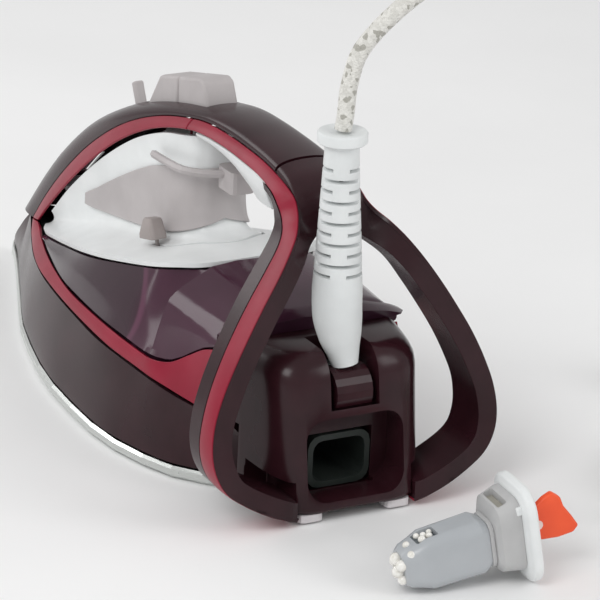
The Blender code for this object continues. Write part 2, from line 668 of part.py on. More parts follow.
def handle_parts(looks):
    side = Vector((0, 1, 0))
    crown = crown_grid(0, SHELL_END - 0.12, 24, 11)
    handle = shell("handle_shell", crown, WALL, looks["burgundy"], outward=side)
    boolean(handle, crown_patch("flap_opening", 0.93, 1.72, 2, 8, math.radians(50), looks["burgundy"]))
    nozzle_axis = Vector((0.72, 0, 0.69))
    nozzle_root = Vector((115.4, 0.0, 41.1))
    for name, reach, radius in (("nozzle_hole", 18, 3.8), ("spray_nozzle", 13, 3.4)):
        route = [nozzle_root + nozzle_axis * length for length in (0, 6, reach)]
        tube(name, route, radius, looks["rubber"], 3, 12)
    boolean(handle, bpy.data.objects["nozzle_hole"])
    boolean(handle, slanted_block("lever_slot", (-14.5, -2.5, -8), (4.4, 2.5, 8), looks["rubber"]))
    opening = [(25, 102), (25, 120), (4, 140), (-28.5, 140), (-28.5, 110)]
    boolean(handle, prism_y("button_opening", opening, 7.4, looks["rubber"]))
    handle.modifiers.new("weld", "WELD").merge_threshold = 0.00001

    crown_patch("inlet_flap", 0.97, 1.68, 0.5, 2.0, math.radians(53.5), looks["flap"])
    outer = [((86, 0, 36.6), 6.5), ((90, 0, 46), 6.8), ((99, 0, 54), 8.5)]
    inner = [((86, 0, 35), 4.8), ((90, 0, 46), 5.2), ((99.8, 0, 55), 6.9)]
    funnel = loft("inlet_funnel", [circle(centre, radius, 12) for centre, radius in outer], looks["white"])
    bore = loft("funnel_bore", [circle(centre, radius, 12) for centre, radius in inner], looks["white"])
    boolean(funnel, bore)
    slanted_block("steam_lever", (-2.0, -2.1, -6), (2.0, 2.1, 9.2), looks["grey"], 0.9)
    buttons = {
        "spray_button": [
            (24.2, 108.6), (24.2, 112), (14.4, 126.2), (11.5, 127.4), (-1.7, 130.6), (-1.7, 116.5),
        ],
        "steam_boost_button": [
            (-2.3, 116.7), (-2.3, 130.8), (-20.5, 135.2), (-24, 134), (-27.8, 126.5), (-27.8, 121.5),
        ],
    }
    for name, profile in buttons.items():
        bevel = prism_y(name, profile, 6.8, looks["grey"]).modifiers.new("bevel", "BEVEL")
        bevel.width, bevel.segments, bevel.limit_method = 1.2 * MM, 2, "ANGLE"
    cylinder("spray_pump", (10, 0, 84), "Z", 5.0, 20, looks["white"], 12)
    cylinder("boost_pump", (-14, 0, 84), "Z", 5.0, 28, looks["white"], 12)
    pipe = [
        (16, 0, 88), (40, 6, 84), (70, 10.4, 66), (90, 10.4, 50), (103, 7, 40.5), (110, 1, 38),
        (114.4, 0, 40.4),
    ]
    tube("spray_pipe", pipe, 1.4, looks["white"], 14, 6)


def slanted_block(name, low, high, look, radius=0.5):
    """A block in the frame of the handle's ridge at the lever: x along the ridge, z away from it."""
    turn = Matrix.Rotation(math.radians(LEVER_SLOPE), 4, "Y")
    plan = rounded_rectangle(high[0] - low[0], high[1] - low[1], radius)
    cx = (low[0] + high[0]) / 2
    rings = [[turn @ Vector((cx + u, v, z)) + Vector(LEVER_PLACE) for u, v in plan] for z in (low[2], high[2])]
    return loft(name, rings, look)


def prism_y(name, profile, half_width, look):
    """A solid with the stated (x, z) profile and the same width on both sides of the middle."""
    return loft(name, [[Vector((x, y, z)) for x, z in profile] for y in (-half_width, half_width)], look)


def cheek_grid(rows=12):
    """Left inner face of the grip, from under the trim to the edge of the grip's liner."""
    grid = []
    for x in steps(-33.5, -91.0, rows):
        low, high = along(CHEEK_LOW, x), along(CHEEK_HIGH, x)
        grid.append([Vector((x, 14.7, high)), Vector((x, 13.2, (low + high) / 2)), Vector((x, 10.4, low))])
    return grid


def liner_low(u):
    """Lower edge of the column's liner, as deck_point's v."""
    return 0.90 - 0.25 * min(1.0, max(0.0, (u - 1.6) / 3.4)) ** 0.6 * (1 - 0.09 * max(0.0, u - 6))


def liner_high(u):
    """Upper edge of the column's liner, as deck_point's v."""
    return 0.905 + 0.035 * min(1.0, (u - 1.6) / 3.0)


def grip_parts(looks):
    grid = cheek_grid()
    for name, side in (("grip_cheek_left", grid), ("grip_cheek_right", mirrored(grid))):
        sign = 1 if side is grid else -1
        shell(name, side, 1.8, looks["white"], outward=Vector((0, sign, -0.5)))
    under = [[Vector((row[2].x, y, row[2].z - 0.3)) for y in (-8.6, -4, 4, 8.6)] for row in grid]
    shell("grip_liner", under, 1.6, looks["grey"], outward=Vector((0, 0, -1)))
    column = deck_grid(16, 5, 1.9, liner_low, liner_high)
    normals = grid_normals(column, Vector((0, 1, 0)))
    raised = [[p + n * 1.5 for p, n in zip(row, line)] for row, line in zip(column, normals)]
    shell("column_liner", raised, 1.0, looks["grey"], outward=Vector((0, 1, 0)))


def trigger(looks):
    half = [(-40, 0, 101.6), (-37.5, 9, 101.8), (-31, 17.4, 102.2), (-20, 19.5, 102.4), (-8, 19.5, 102)]
    route = [(x, -y, z) for x, y, z in reversed(half[1:])] + half
    arms = tube("trigger", route, 1.6, looks["grey"], 24, 6)
    boolean(arms, block("trigger_pad", (-48, -5, 95.4), (-34.5, 5, 104.4), looks["grey"], 2.0), "UNION")


def heel_frame(looks):
    rings = []
    for k, (front, inner, rear) in enumerate(FRAME_EDGES):
        upper, lower, normal = trim_pair(SHELL_END + k)
        front, inner, rear = Vector(front), Vector(inner), Vector(rear)
        if k <= APEX:
            middle = Vector((upper.x, 0, upper.z))
            r1 = Vector((0, upper.y * 0.87, 0)) + middle.lerp(rear, 0.574)
            r2 = Vector((0, upper.y * 0.5, 0)) + middle.lerp(rear, 0.891)
        else:
            r1, r2 = upper.lerp(rear, 0.33), upper.lerp(rear, 0.67)
        seat_upper, seat_lower = upper - normal * TRIM_SEAT, lower - normal * TRIM_SEAT
        rings.append([rear, r2, r1, upper, seat_upper, seat_lower, lower, front, inner])
    count = len(rings[0])
    points = [p for ring in rings for p in ring]
    faces = []
    for i in range(len(rings) - 1):
        for j in range(count):
            k = (j + 1) % count
            if i <= APEX and j == count - 1:
                continue
            faces.append((i * count + j, i * count + k, (i + 1) * count + k, (i + 1) * count + j))
    size = len(points)
    left_end = tuple(range(size - count, size))
    points += [Vector((p.x, -p.y, p.z)) for p in points]
    faces += [tuple(size + v for v in reversed(face)) for face in faces]
    faces.append(left_end)
    faces.append(tuple(size + v for v in reversed(left_end)))
    start = list(range(count))
    faces.append(tuple(start) + tuple(size + v for v in reversed(start)))
    apex, after = APEX * count, (APEX + 1) * count
    inner, rear = count - 1, 0
    faces.append((apex + inner, after + inner, size + after + inner, size + apex + inner))
    faces.append((apex + rear, after + rear, size + after + rear, size + apex + rear))
    faces.append((after + inner, after + rear, size + after + rear, size + after + inner))
    return welded("heel_frame", points, faces, looks["burgundy"])


def welded(name, points, faces, look):
    """Like build, with points that coincide joined into one."""
    made = build(name, points, faces, look)
    work = bmesh.new()
    work.from_mesh(made.data)
    bmesh.ops.remove_doubles(work, verts=work.verts, dist=1e-6)
    bmesh.ops.dissolve_degenerate(work, edges=work.edges, dist=1e-7)
    face_outwards(work)
    work.to_mesh(made.data)
    work.free()
    return made


def heel_housing(looks):
    plan = [(-148.6, 15, 0), (-147.6, 21, 0), (-144.6, 26.4, 0), (-138, 30.6, 0), (-128, 33.2, 0), (-105, 37.5, 0)]
    rear_plan = [(p.x, p.y) for p in even_path(plan, 12)]
    rings = []
    for z, trim in ((4.0, 1.0), (6.0, 0.0), (31.0, 0.0), (55.0, 0.0), (61.0, 2.5), (63.5, 6.0)):
        left = []
        for x, y in rear_plan:
            reach = (-x - 105) / 43
            left.append((x + (0.14 * z + trim) * reach, y - trim))
        rings.append([Vector((x, y, z)) for x, y in left] + [Vector((x, -y, z)) for x, y in reversed(left)])
    housing = loft("heel_housing", rings, looks["burgundy"])
    for sign in (1, -1):
        near, far = sorted((sign * 24.5, sign * 60))
        room = block(f"leg_room_{sign + 1}", (-170, near, -5), (-121, far, 16.5), looks["burgundy"], 0.5)
        boolean(housing, room)
        boolean(housing, slant_cut(f"leg_slant_{sign + 1}", sign, looks["burgundy"]))
    boolean(housing, block("front_room", (-117, -60, -5), (-90, 60, 31.6), looks["burgundy"], 0.5))
    boolean(housing, block("tank_room", (-112.2, -61, 59.3), (-89, 61, 81), looks["burgundy"], 0.6))
    boolean(housing, block("foot_notch", (-170, -12, -5), (-134, 12, 4.6), looks["burgundy"], 0.5))
    recess = rounded_rectangle(41, 31.5, 8.0, 4)
    rings = [[Vector((x, u, 23.75 + v)) for u, v in recess] for x in (-170, -131)]
    boolean(housing, loft("collector_recess", rings, looks["burgundy"]))
    boolean(housing, block("socket_room", (-135, -14, 6.3), (-90, 14, 29), looks["burgundy"], 1.0))
    boolean(housing, block("terminal_room", (-125, -24, 33), (-90, 24, 57.5), looks["burgundy"], 1.0))
    boolean(housing, block("boot_slot", (-170, -10.2, 50), (-119, 10.2, 80), looks["burgundy"], 1.0))
    start = (SWIVEL[0], -10.2, SWIVEL[2])
    boolean(housing, cylinder("swivel_room", start, "Y", 10.6, 20.4, looks["burgundy"], 20))
    return housing


def slant_cut(name, sign, look):
    """Clears the heel housing from the curved foot of a leg."""
    profile = [(24.5, -5), (24.5, 15.8), (32, 18), (44, 26), (60, 40), (60, -5)]
    rings = [[Vector((x, sign * y, z)) for y, z in profile] for x in (-170, -121.5)]
    return loft(name, rings, look)


def heel_inner_parts(looks):
    for name, sign in (("heel_pad_left", 1), ("heel_pad_right", -1)):
        near, far = sorted((sign * 13.5, sign * 23.5))
        block(name, (-146.5, near, 0.8), (-133, far, 3.7), looks["rubber"], 2.0)
    plan = rounded_rectangle(26.4, 21.2, 5.0, 3)
    rings = [[Vector((x, u, SOCKET_HEIGHT + v)) for u, v in plan] for x in (-131.6, -79)]
    socket = loft("collector_socket", rings, looks["socket"])
    bore = rounded_rectangle(22, 16.5, 4.0, 3)
    rings = [[Vector((x, u, SOCKET_HEIGHT + v)) for u, v in bore] for x in (-140, -83)]
    boolean(socket, loft("socket_bore", rings, looks["socket"]))
    block("terminal_block", (-118, -11, 35), (-106, 11, 47), looks["porcelain"], 1.0)
    rings = [circle(centre, radius, 16) for centre, radius in BOOT]
    boot = loft("cord_boot", rings, looks["white"])
    swivel = cylinder("cord_swivel", (SWIVEL[0], -7.5, SWIVEL[2]), "Y", 9.0, 15.0, looks["burgundy"], 20)
    carry(pivot("boot_pivot", SWIVEL), boot, swivel)


def selector(looks, deck):
    """Steam selector: a knob on a ring under the deck, in a slot round the foot of the handle's column."""
    place = pivot("selector_pivot", DIAL_CENTRE, (0, DIAL_TILT, 0))
    bpy.context.view_layer.update()
    frame = place.matrix_world.copy()

    def world(r, angle, h):
        a = math.radians(angle)
        return (frame @ (Vector((r * math.cos(a), r * math.sin(a), h)) * MM)) / MM

    inner, outer = DIAL_RADIUS - 2.5, DIAL_RADIUS + 2.5
    section = ((inner, -6.0), (outer, -6.0), (outer, -4.9), (inner, -4.9))
    rings = [[world(r, 360 * k / 32, h) for r, h in section] for k in range(32)]
    ring = loft("selector_ring", rings, looks["phenolic"], True)
    inner, outer = DIAL_RADIUS - 1.6, DIAL_RADIUS + 1.6
    section = ((inner, -6), (outer, -6), (outer, 9), (inner, 9))
    slot = [[world(r, a, h) for r, h in section] for a in steps(80.5, 259.7, 20)]
    boolean(deck, loft("selector_slot", slot, looks["white"]))
    stem = []
    for height, across, along_slot, shift in KNOB_LEVELS:
        stem.append([
            world(DIAL_RADIUS + shift + u, KNOB_REST + 57.3 * v / DIAL_RADIUS, height)
            for u, v in rounded_rectangle(across, along_slot, 0.6)
        ])
    knob = loft("selector_knob", stem, looks["knob"])
    carry(place, ring, knob)


def collector_frame():
    return (
        Matrix.Translation(Vector(COLLECTOR_PLACE))
        @ Matrix.Rotation(math.radians(COLLECTOR_YAW), 4, "Z")
        @ Matrix.Rotation(math.radians(COLLECTOR_PITCH), 4, "Y")
    )


def collector_solid(name, sections, look, corner=3.0):
    """A solid along the collector's axis; sections are (length, half height, half width, rise)."""
    frame = collector_frame()
    rings = []
    for length, high, wide, rise in sections:
        plan = rounded_rectangle(2 * wide, 2 * high, min(corner, wide * 0.6, high * 0.6), 2)
        rings.append([frame @ Vector((length, u, v + rise)) for u, v in plan])
    return loft(name, rings, look)


def collector(looks):
    body = collector_solid("collector_body", [
        (0, 6, 5, 0), (2, 7.4, 6.4, 0), (6, 8.6, 7.2, 0), (10, 10.2, 7.8, 0), (30, 10.6, 8.0, 0), (33, 9.0, 7.0, 0),
    ], looks["grey"])
    seal = collector_solid("collector_seal", [(33.3, 9.4, 7.2, 0), (34.7, 9.4, 7.2, 0)], looks["rubber"])
    collar = collector_solid("collector_collar", [
        (35.0, 10.5, 8.2, 0.5), (36.5, 13.2, 9.8, 1.5), (43, 14.6, 10.6, 1.8), (44.6, 14.6, 10.6, 1.8),
    ], looks["grey"], 5.0)
    cap = collector_solid("collector_cap", [
        (44.9, 16.2, 11.5, 0.8), (46, 19.0, 14.8, 0.8), (48.6, 19.2, 15.0, 0.8), (49.8, 18.2, 13.8, 0.8),
    ], looks["white"], 9.0)
    tag = collector_solid("collector_tag", [
        (50.1, 5.0, 2.4, 0.6), (55, 8.2, 2.2, 0.6), (66, 9.2, 2.0, 0.6), (70.5, 8.0, 1.6, 0.6),
    ], looks["orange"], 1.5)
    place = pivot("collector_place", COLLECTOR_PLACE)
    carry(place, body, seal, collar, cap, tag)


def cord_parts(looks):
    cord_curve("cord_tube", even_path(LEAD_ROUTE, 40), looks["cord"])
    cord_curve("cord_tail", even_path(TAIL_ROUTE, 8), looks["cord"])
    cx, cy = COIL_CENTRE
    middle, high = (COIL_BOTTOM + COIL_TOP) / 2, (COIL_TOP - COIL_BOTTOM) / 2
    section = rounded_rectangle(COIL_WIDTH, 2 * high, 5.5, 1)
    rings = []
    for k in range(32):
        a = 2 * math.pi * k / 32
        ring = []
        for u, v in section:
            reach = COIL_MEAN_RADIUS + u
            ring.append(Vector((cx + reach * math.cos(a), cy + reach * math.sin(a), middle + v)))
        rings.append(ring)
    loft("cord_coil", rings, looks["cord"], True)
    tie_outer = rounded_rectangle(COIL_WIDTH + 3.0, 2 * high + 2.8, 6.0, 1)
    tie_inner = rounded_rectangle(COIL_WIDTH + 1.0, 2 * high + 0.8, 5.7, 1)
    lines = []
    for plan, x in ((tie_outer, -3), (tie_outer, 3), (tie_inner, 3), (tie_inner, -3)):
        lines.append([Vector((cx + x, cy - COIL_MEAN_RADIUS - u, middle + v)) for u, v in plan])
    loft("coil_tie", lines, looks["rubber"], True)
    x, y, z = PLUG_CENTRE
    plug_profile = [(0, 4.2), (9, 5.2), (17, 8.0), (24, 13.0), (29, 17.6), (36, 18.4), (42, 18.4), (43, 17.4)]
    loft("plug_body", [circle((x + along_x, y, z), r, 16, "X") for along_x, r in plug_profile], looks["plug"])
    for name, side in (("plug_pin_left", 9.5), ("plug_pin_right", -9.5)):
        cylinder(name, (x + 43.3, y + side, z), "X", 2.4, 19, looks["steel"], 8)


def cord_curve(name, path, look):
    curve = bpy.data.curves.new(name, "CURVE")
    curve.dimensions = "3D"
    curve.bevel_depth = CORD_DIAMETER / 2 * MM
    curve.bevel_resolution = 2
    curve.use_fill_caps = True
    curve.twist_mode = "MINIMUM"
    spline = curve.splines.new("POLY")
    spline.points.add(len(path) - 1)
    for point, place in zip(spline.points, path):
        point.co = (*(Vector(place) * MM), 1.0)
    curve.materials.append(look)
    made = bpy.data.objects.new(name, curve)
    bpy.context.scene.collection.objects.link(made)
    return made


def main():
    for old in list(bpy.data.objects):
        bpy.data.objects.remove(old, do_unlink=True)
    looks = {
        "sole": material("sole", (0.62, 0.64, 0.62), 0.22, 1.0),
        "casting": material("casting", (0.55, 0.56, 0.57), 0.5, 1.0),
        "steel": material("steel", (0.6, 0.6, 0.6), 0.3, 1.0),
        "brass": material("brass", (0.7, 0.55, 0.25), 0.35, 1.0),
        "porcelain": material("porcelain", (0.85, 0.84, 0.8), 0.4),
        "phenolic": material("phenolic", (0.02, 0.02, 0.02), 0.6),
        "burgundy": material("burgundy", (0.028, 0.008, 0.012), 0.18),
        "red": material("red", (0.27, 0.01, 0.03), 0.25),
        "tank": material("tank", (0.07, 0.023, 0.042), 0.1),
        "white": material("white", (0.77, 0.79, 0.79), 0.35),
        "grey": material("grey", (0.46, 0.43, 0.43), 0.45),
        "knob": material("knob", (0.32, 0.28, 0.27), 0.5),
        "flap": material("flap", (0.6, 0.4, 0.48), 0.2),
        "rubber": material("rubber", (0.03, 0.03, 0.03), 0.6),
        "socket": material("socket", (0.025, 0.03, 0.028), 0.5),
        "orange": material("orange", (0.82, 0.09, 0.02), 0.4),
        "cord": material("cord", (0.72, 0.71, 0.68), 0.9),
        "plug": material("plug", (0.75, 0.75, 0.74), 0.45),
    }
    base_parts(looks)
    shell("skirt", skirt_grid(), WALL, looks["burgundy"], outward=Vector((0, 1, 0)))
    band = band_grid()
    shell("flank_band_left", band, 1.8, looks["red"], outward=Vector((0, 1, 0)))
    shell("flank_band_right", mirrored(band), 1.8, looks["red"], outward=Vector((0, -1, 0)))
    water_tank(looks)
    whole = deck_grid(18, 10, 0.0, whole_low, whole_high)
    deck = shell("deck_cover", whole, 2.0, looks["white"], outward=Vector((0, 0.5, 1)))
    selector(looks, deck)
    last = len(TRIM_ROUTE) - 1
    trims = (("trim_front", 0, TRIM_JOINT - 0.02, 16), ("trim_rear", TRIM_JOINT + 0.02, last, 40))
    for name, first, end, rows in trims:
        grid = trim_grid(first, end, rows)
        shell(name + "_left", grid, TRIM, looks["red"], outward=Vector((0, 1, 0)))
        shell(name + "_right", mirrored(grid), TRIM, looks["red"], outward=Vector((0, -1, 0)))
    handle_parts(looks)
    grip_parts(looks)
    trigger(looks)
    heel_frame(looks)
    heel_housing(looks)
    heel_inner_parts(looks)
    collector(looks)
    cord_parts(looks)


main()
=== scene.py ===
import math

import bmesh
import bpy
from mathutils import Matrix, Vector


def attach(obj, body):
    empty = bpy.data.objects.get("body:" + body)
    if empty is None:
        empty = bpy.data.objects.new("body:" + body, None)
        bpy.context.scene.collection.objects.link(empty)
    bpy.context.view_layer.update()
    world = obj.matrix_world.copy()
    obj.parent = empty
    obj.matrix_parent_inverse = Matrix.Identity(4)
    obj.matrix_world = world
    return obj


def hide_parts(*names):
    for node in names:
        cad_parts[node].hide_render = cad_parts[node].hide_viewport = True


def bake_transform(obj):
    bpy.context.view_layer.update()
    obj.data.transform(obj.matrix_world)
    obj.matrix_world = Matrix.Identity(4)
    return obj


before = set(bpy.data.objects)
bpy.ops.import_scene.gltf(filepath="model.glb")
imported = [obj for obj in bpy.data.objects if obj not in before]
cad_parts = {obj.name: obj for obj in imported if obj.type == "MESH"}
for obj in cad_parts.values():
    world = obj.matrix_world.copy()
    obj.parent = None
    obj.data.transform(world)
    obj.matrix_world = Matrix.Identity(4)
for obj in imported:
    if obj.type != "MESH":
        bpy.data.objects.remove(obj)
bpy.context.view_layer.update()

MM = 0.001
GAP = 0.3

# The camera in metres, from a numerical fit to the reference view
CAMERA_PLACE = Vector((-1.208142, 0.617709, 0.547532))
CAMERA_RIGHT = Vector((-0.47171474, -0.88079149, 0.04112848))
CAMERA_UP = Vector((0.32895461, -0.13251436, 0.93500204))
CAMERA_LENS, CAMERA_SENSOR = 215.386, 36.0

# Soft lights: name, place, target, size of the square in metres, watts
WORLD_STRENGTH = 0.62
LIGHTS = (
    ("key", (-0.9, 1.3, 1.5), (0.0, 0.0, 0.06), 0.9, 15.0),
    ("side", (-1.3, -1.0, 1.0), (-0.1, -0.05, 0.05), 0.8, 6.0),
    ("front", (1.2, 0.9, 0.9), (0.0, 0.0, 0.08), 0.8, 6.0),
)
FLOOR_REACH, FLOOR_HEIGHT = 6.0, -0.0002

# Heights and walls
SOLE_TOP = 5.0
TANK_BOTTOM = 29.0
WALL = 2.2
TRIM = 1.2
TRIM_SEAT = TRIM + GAP

# Plan of the soleplate: station along X and half width there
SOLE_PLAN = [
    (-115, 0), (-112.5, 20), (-101, 38), (-80, 52), (-42, 59), (0, 56.6), (60, 43.5), (110, 24),
    (150, 7.6), (164, 2.6), (168, 0),
]
# Half width of the body at the top of the skirt and higher up
SHOULDER_PLAN = [
    (-112, 36.5), (-88, 43.5), (-69, 48.5), (-32, 50.2), (9, 46.3), (48, 39.5), (80, 30), (108, 18.8),
    (121, 13.2), (134, 7), (141, 0),
]
# Height of the skirt's upper edge
SKIRT_TOP = [
    (-113, 29.8), (-88, 30.9), (-69, 33.2), (-32, 34), (9, 33.6), (48, 32.2), (90, 28.7), (108, 27.2),
    (124, 30), (141, 30.4),
]
# The deck's seam lies in a plane that drops towards the tip
SEAM_HEIGHT, SEAM_SLOPE = 59.8, -0.248
DISH_RISE = 5.0

# The red trim runs from the nose over the handle and down each heel leg: upper edge, lower edge (left side)
TRIM_ROUTE = [
    ((119.5, 13.0, 33.0), (109.5, 15.2, 35.0)),
    ((102, 15.0, 49.3), (97.2, 16.7, 45.0)),
    ((82, 16.4, 66.4), (76.5, 18.4, 61.4)),
    ((60, 16.6, 83.6), (55, 19.2, 77.6)),
    ((36, 16.6, 98.8), (32, 19.5, 93.0)),
    ((15, 15.4, 109.3), (11, 19.0, 104.6)),
    ((-7, 13.9, 117.1), (-9, 18.2, 113.0)),
    ((-29, 13.0, 122.3), (-30, 17.0, 118.5)),
    ((-43.5, 12.5, 124.2), (-43.7, 16.5, 120.2)),
    ((-60, 12.2, 124.4), (-60, 16.2, 120.4)),
    ((-75, 12.3, 123.9), (-74, 16.2, 119.6)),
    ((-87, 12.5, 123.1), (-85.2, 16.5, 118.9)),
    ((-97, 12.8, 121.7), (-94.5, 17.0, 117.7)),
    ((-106, 13.2, 119.9), (-102.5, 17.6, 115.9)),
    ((-113.5, 13.7, 117.5), (-107.5, 18.0, 113.2)),
    ((-118, 14.5, 114.3), (-111, 18.4, 111.0)),
    ((-122.5, 16.5, 111.3), (-114.5, 19.4, 109.0)),
    ((-128, 20.0, 108.0), (-119, 21.6, 106.4)),
    ((-132, 24.5, 103.0), (-122.5, 25.0, 102.3)),
    ((-135.2, 30.5, 95.3), (-124.8, 30.5, 95.3)),
    ((-137.3, 37.8, 85.0), (-126.5, 37.8, 85.0)),
    ((-139, 44.2, 75.0), (-128, 44.2, 75.0)),
    ((-140.6, 50.2, 64.8), (-129.8, 50.2, 64.8)),
    ((-141.8, 55.2, 54.5), (-131.5, 55.2, 54.5)),
    ((-143.3, 59.0, 44.0), (-133.3, 59.0, 44.0)),
    ((-145, 60.4, 34.0), (-134, 60.4, 34.0)),
    ((-146.5, 59.1, 25.5), (-134.5, 59.1, 25.5)),
    ((-147.5, 55.0, 18.3), (-134.5, 55.0, 18.3)),
    ((-148.3, 48.0, 12.8), (-134, 48.0, 12.8)),
    ((-148.5, 38.5, 7.3), (-133, 38.5, 7.3)),
    ((-148, 30.0, 3.6), (-132, 30.0, 3.6)),
    ((-147, 25.0, 1.8), (-131, 25.0, 1.8)),
]
TRIM_JOINT = 7      # the front trim ends and the rear trim starts at this station
SHELL_END = 12      # the handle's top shell ends and the heel frame starts here
UP = Vector((0.3, 0, 1))    # roughly the outward normal at the front of the handle's top shell
# Ridge of the handle's top shell above each station of TRIM_ROUTE, as (x, z)
CROWN = [
    (139.8, 31.9), (114.5, 56.5), (93, 75), (68.5, 92.5), (42, 105.8), (18.5, 114.8), (-5.5, 121.7),
    (-29, 126.6), (-43.5, 128.7), (-60, 129.2), (-75, 128.5), (-87.5, 127.4), (-97.6, 126.2),
]

# Left flank band from the nose to the heel: lower edge, then upper edge
BAND = [
    ((119, 13.2, 32.7), (110, 15.1, 34.5)), ((112, 17.0, 29.4), (103.5, 17.2, 34.1)),
    ((103, 20.8, 28.9), (96, 20.2, 33.9)), ((88, 27, 30.0), (84, 24.3, 34.2)),
    ((68, 34.2, 31.7), (66, 30.5, 35.8)), ((48, 39.6, 33.4), (45, 36.8, 37.5)),
    ((20, 44.9, 34.7), (18, 43, 38.8)), ((-8, 48.3, 35.1), (-9, 46.4, 40)),
    ((-35, 50.2, 35.2), (-35, 47.9, 40.6)), ((-58, 49.4, 34.9), (-57, 48, 40.8)),
    ((-69, 48.6, 34.5), (-67, 47.6, 41.2)), ((-79, 46.2, 33.5), (-77, 44.6, 43.2)),
    ((-88, 43.6, 32.3), (-86.5, 41.4, 49)), ((-96, 41.2, 31.4), (-95, 40, 54)),
    ((-103.4, 39.2, 30.9), (-103.4, 39.2, 57)),
]

# Height and half width of the tank's edge over the band
TANK_EDGE_HEIGHT = [
    (-103.4, 57), (-95, 54), (-86.5, 49), (-77, 43.2), (-67, 41.2), (-35, 40.6), (18, 38.8), (66, 35.8),
    (110, 34.5),
]
TANK_EDGE_WIDTH = [
    (-103.4, 39.2), (-86.5, 41.4), (-77, 44.6), (-57, 48), (-35, 47.9), (18, 43), (66, 30.5), (96, 20.2),
    (110, 15.1),
]
TANK_STEP = -63.8   # behind this station the tank rises over the heel
# Half width of the tank's top in front of the step
TANK_RIM = [(-63, 24), (-41, 35.5), (1, 37.8), (52, 30), (92, 20.2), (109, 12.8)]

# Left half of the deck from the nose to the heel: its seam with the tank, then its edge under the handle
DECK = [
    ((108, 12.4, 33.7), (97.5, 14.4, 43.0)), ((92, 20.2, 37.2), (76.5, 16.6, 59.8)),
    ((72, 25.6, 42.2), (55, 17.2, 75.9)), ((52, 30, 47.2), (32, 17.5, 91.0)),
    ((27, 34.8, 53.4), (11, 17.1, 102.7)), ((1, 37.8, 59.8), (-9, 16.2, 110.6)),
    ((-22, 37.4, 65.4), (-21, 13.6, 113)), ((-41, 35.5, 70.1), (-27.5, 11.0, 114.2)),
    ((-54, 30.2, 73.4), (-30, 7.6, 114.6)), ((-61, 23.8, 74.9), (-31, 5.2, 114.8)),
    ((-63, 12.4, 75.3), (-31.4, 2.6, 114.9)), ((-62.5, 0, 75.2), (-31.5, 0, 115)),
]

# Height of the lower and upper edge of the grip's cheek
CHEEK_LOW = [(-91.5, 104.4), (-82, 104.2), (-71.5, 108), (-56, 112.6), (-44, 114.2), (-33, 114.6)]
CHEEK_HIGH = [(-91, 115.9), (-85, 117.3), (-74, 118.1), (-60, 118.8), (-44, 118.6), (-33, 117.4)]

# Steam lever on the handle's ridge, which rises towards the rear there
LEVER_PLACE = (43.6, 0.0, 105.2)
LEVER_SLOPE = 26.7  # degrees

# Heel frame from SHELL_END on: front outer edge, inner front edge, inner rear edge
FRAME_EDGES = [
    ((-93, 15.6, 114.2), (-93, 0, 104.4), (-98.3, 0, 126.2)),
    ((-99.5, 16.2, 112.6), (-97, 0, 104.2), (-108.8, 0, 123.2)),
    ((-104.3, 17.4, 110.6), (-100.5, 0, 103.9), (-115.8, 0, 117.6)),
    ((-106.5, 18.2, 108.6), (-103.5, 0, 103.4), (-118.3, 0, 110.5)),
    ((-109, 19.3, 107), (-106.5, 4.5, 102.6), (-119.6, 4.7, 105.8)),
    ((-112.3, 21.6, 105.5), (-110, 10.5, 100), (-123.6, 11.4, 101.8)),
    ((-115, 25, 102), (-114, 16.5, 96.5), (-130.6, 17.6, 97.3)),
    ((-117, 30.5, 95.3), (-116.5, 23.7, 90.3), (-134.6, 23.7, 90.3)),
    ((-118.5, 37.8, 85), (-118, 30.9, 80.4), (-137, 30.9, 80.4)),
    ((-120.2, 44.2, 75), (-119.7, 37.2, 70.7), (-138.8, 37.2, 70.7)),
    ((-122, 50.2, 64.8), (-121.5, 43, 60.9), (-140.4, 43, 60.9)),
    ((-123.5, 55.2, 54.5), (-123, 47.7, 51.3), (-141.8, 47.7, 51.3)),
    ((-125, 59, 44), (-124.5, 51.2, 42), (-143.3, 51.2, 42)),
    ((-126, 60.4, 34), (-125.5, 52.2, 34), (-145, 52.2, 34)),
    ((-127, 59.1, 25.5), (-126.5, 51.3, 28.2), (-146.5, 51.3, 28.2)),
    ((-127.5, 55, 18.3), (-127, 49, 23), (-147.5, 49, 23)),
    ((-128, 48, 12.8), (-127.5, 43.7, 18.9), (-148.3, 43.7, 18.9)),
    ((-128, 38.5, 7.3), (-127.5, 35.2, 14.3), (-148.5, 35.2, 14.3)),
    ((-128, 30, 3.6), (-127.5, 28, 11), (-148, 28, 11)),
    ((-128, 25, 1.8), (-127.5, 25, 9.8), (-147, 25, 9.8)),
]
APEX = 3            # the two legs part after this station of FRAME_EDGES

# Cord
CORD_DIAMETER = 6.5
LEAD_ROUTE = [
    (-130.0, 3.9, 147.4), (-130.3, 3.3, 153), (-130.8, 2.3, 166), (-133.1, -1.7, 179.6),
        (-140.6, -15.1, 197.1),
    (-150, -31, 210), (-163, -52, 216.5), (-177, -72, 208), (-187, -84, 186), (-191, -89, 152),
        (-194, -91, 106),
    (-197, -93, 58), (-200, -97.5, 27), (-206.2, -104.8, 9.0), (-215.2, -112.8, 4.4),
]
COIL_CENTRE = (-184.0, -149.0)
TAIL_ROUTE = [
    (-171.6, -195.2, 3.9), (-163.5, -193.0, 5.2), (-155, -190.6, 9.2), (-147, -188.8, 14.4),
        (-140.5, -188.0, 17.9),
    (-136.5, -188, 18.7), (-134.9, -188, 18.8),
]
PLUG_CENTRE = (-134.0, -188.0, 18.8)

# Selector: it turns in a plane parallel to the deck, round the foot of the handle's front column
DIAL_CENTRE = (-18.91, 0.0, 69.52)
DIAL_TILT = 13.9    # degrees about Y
DIAL_RADIUS = 22.0
KNOB_REST = 87.6    # the knob's place on the arc at rest, in degrees from the front


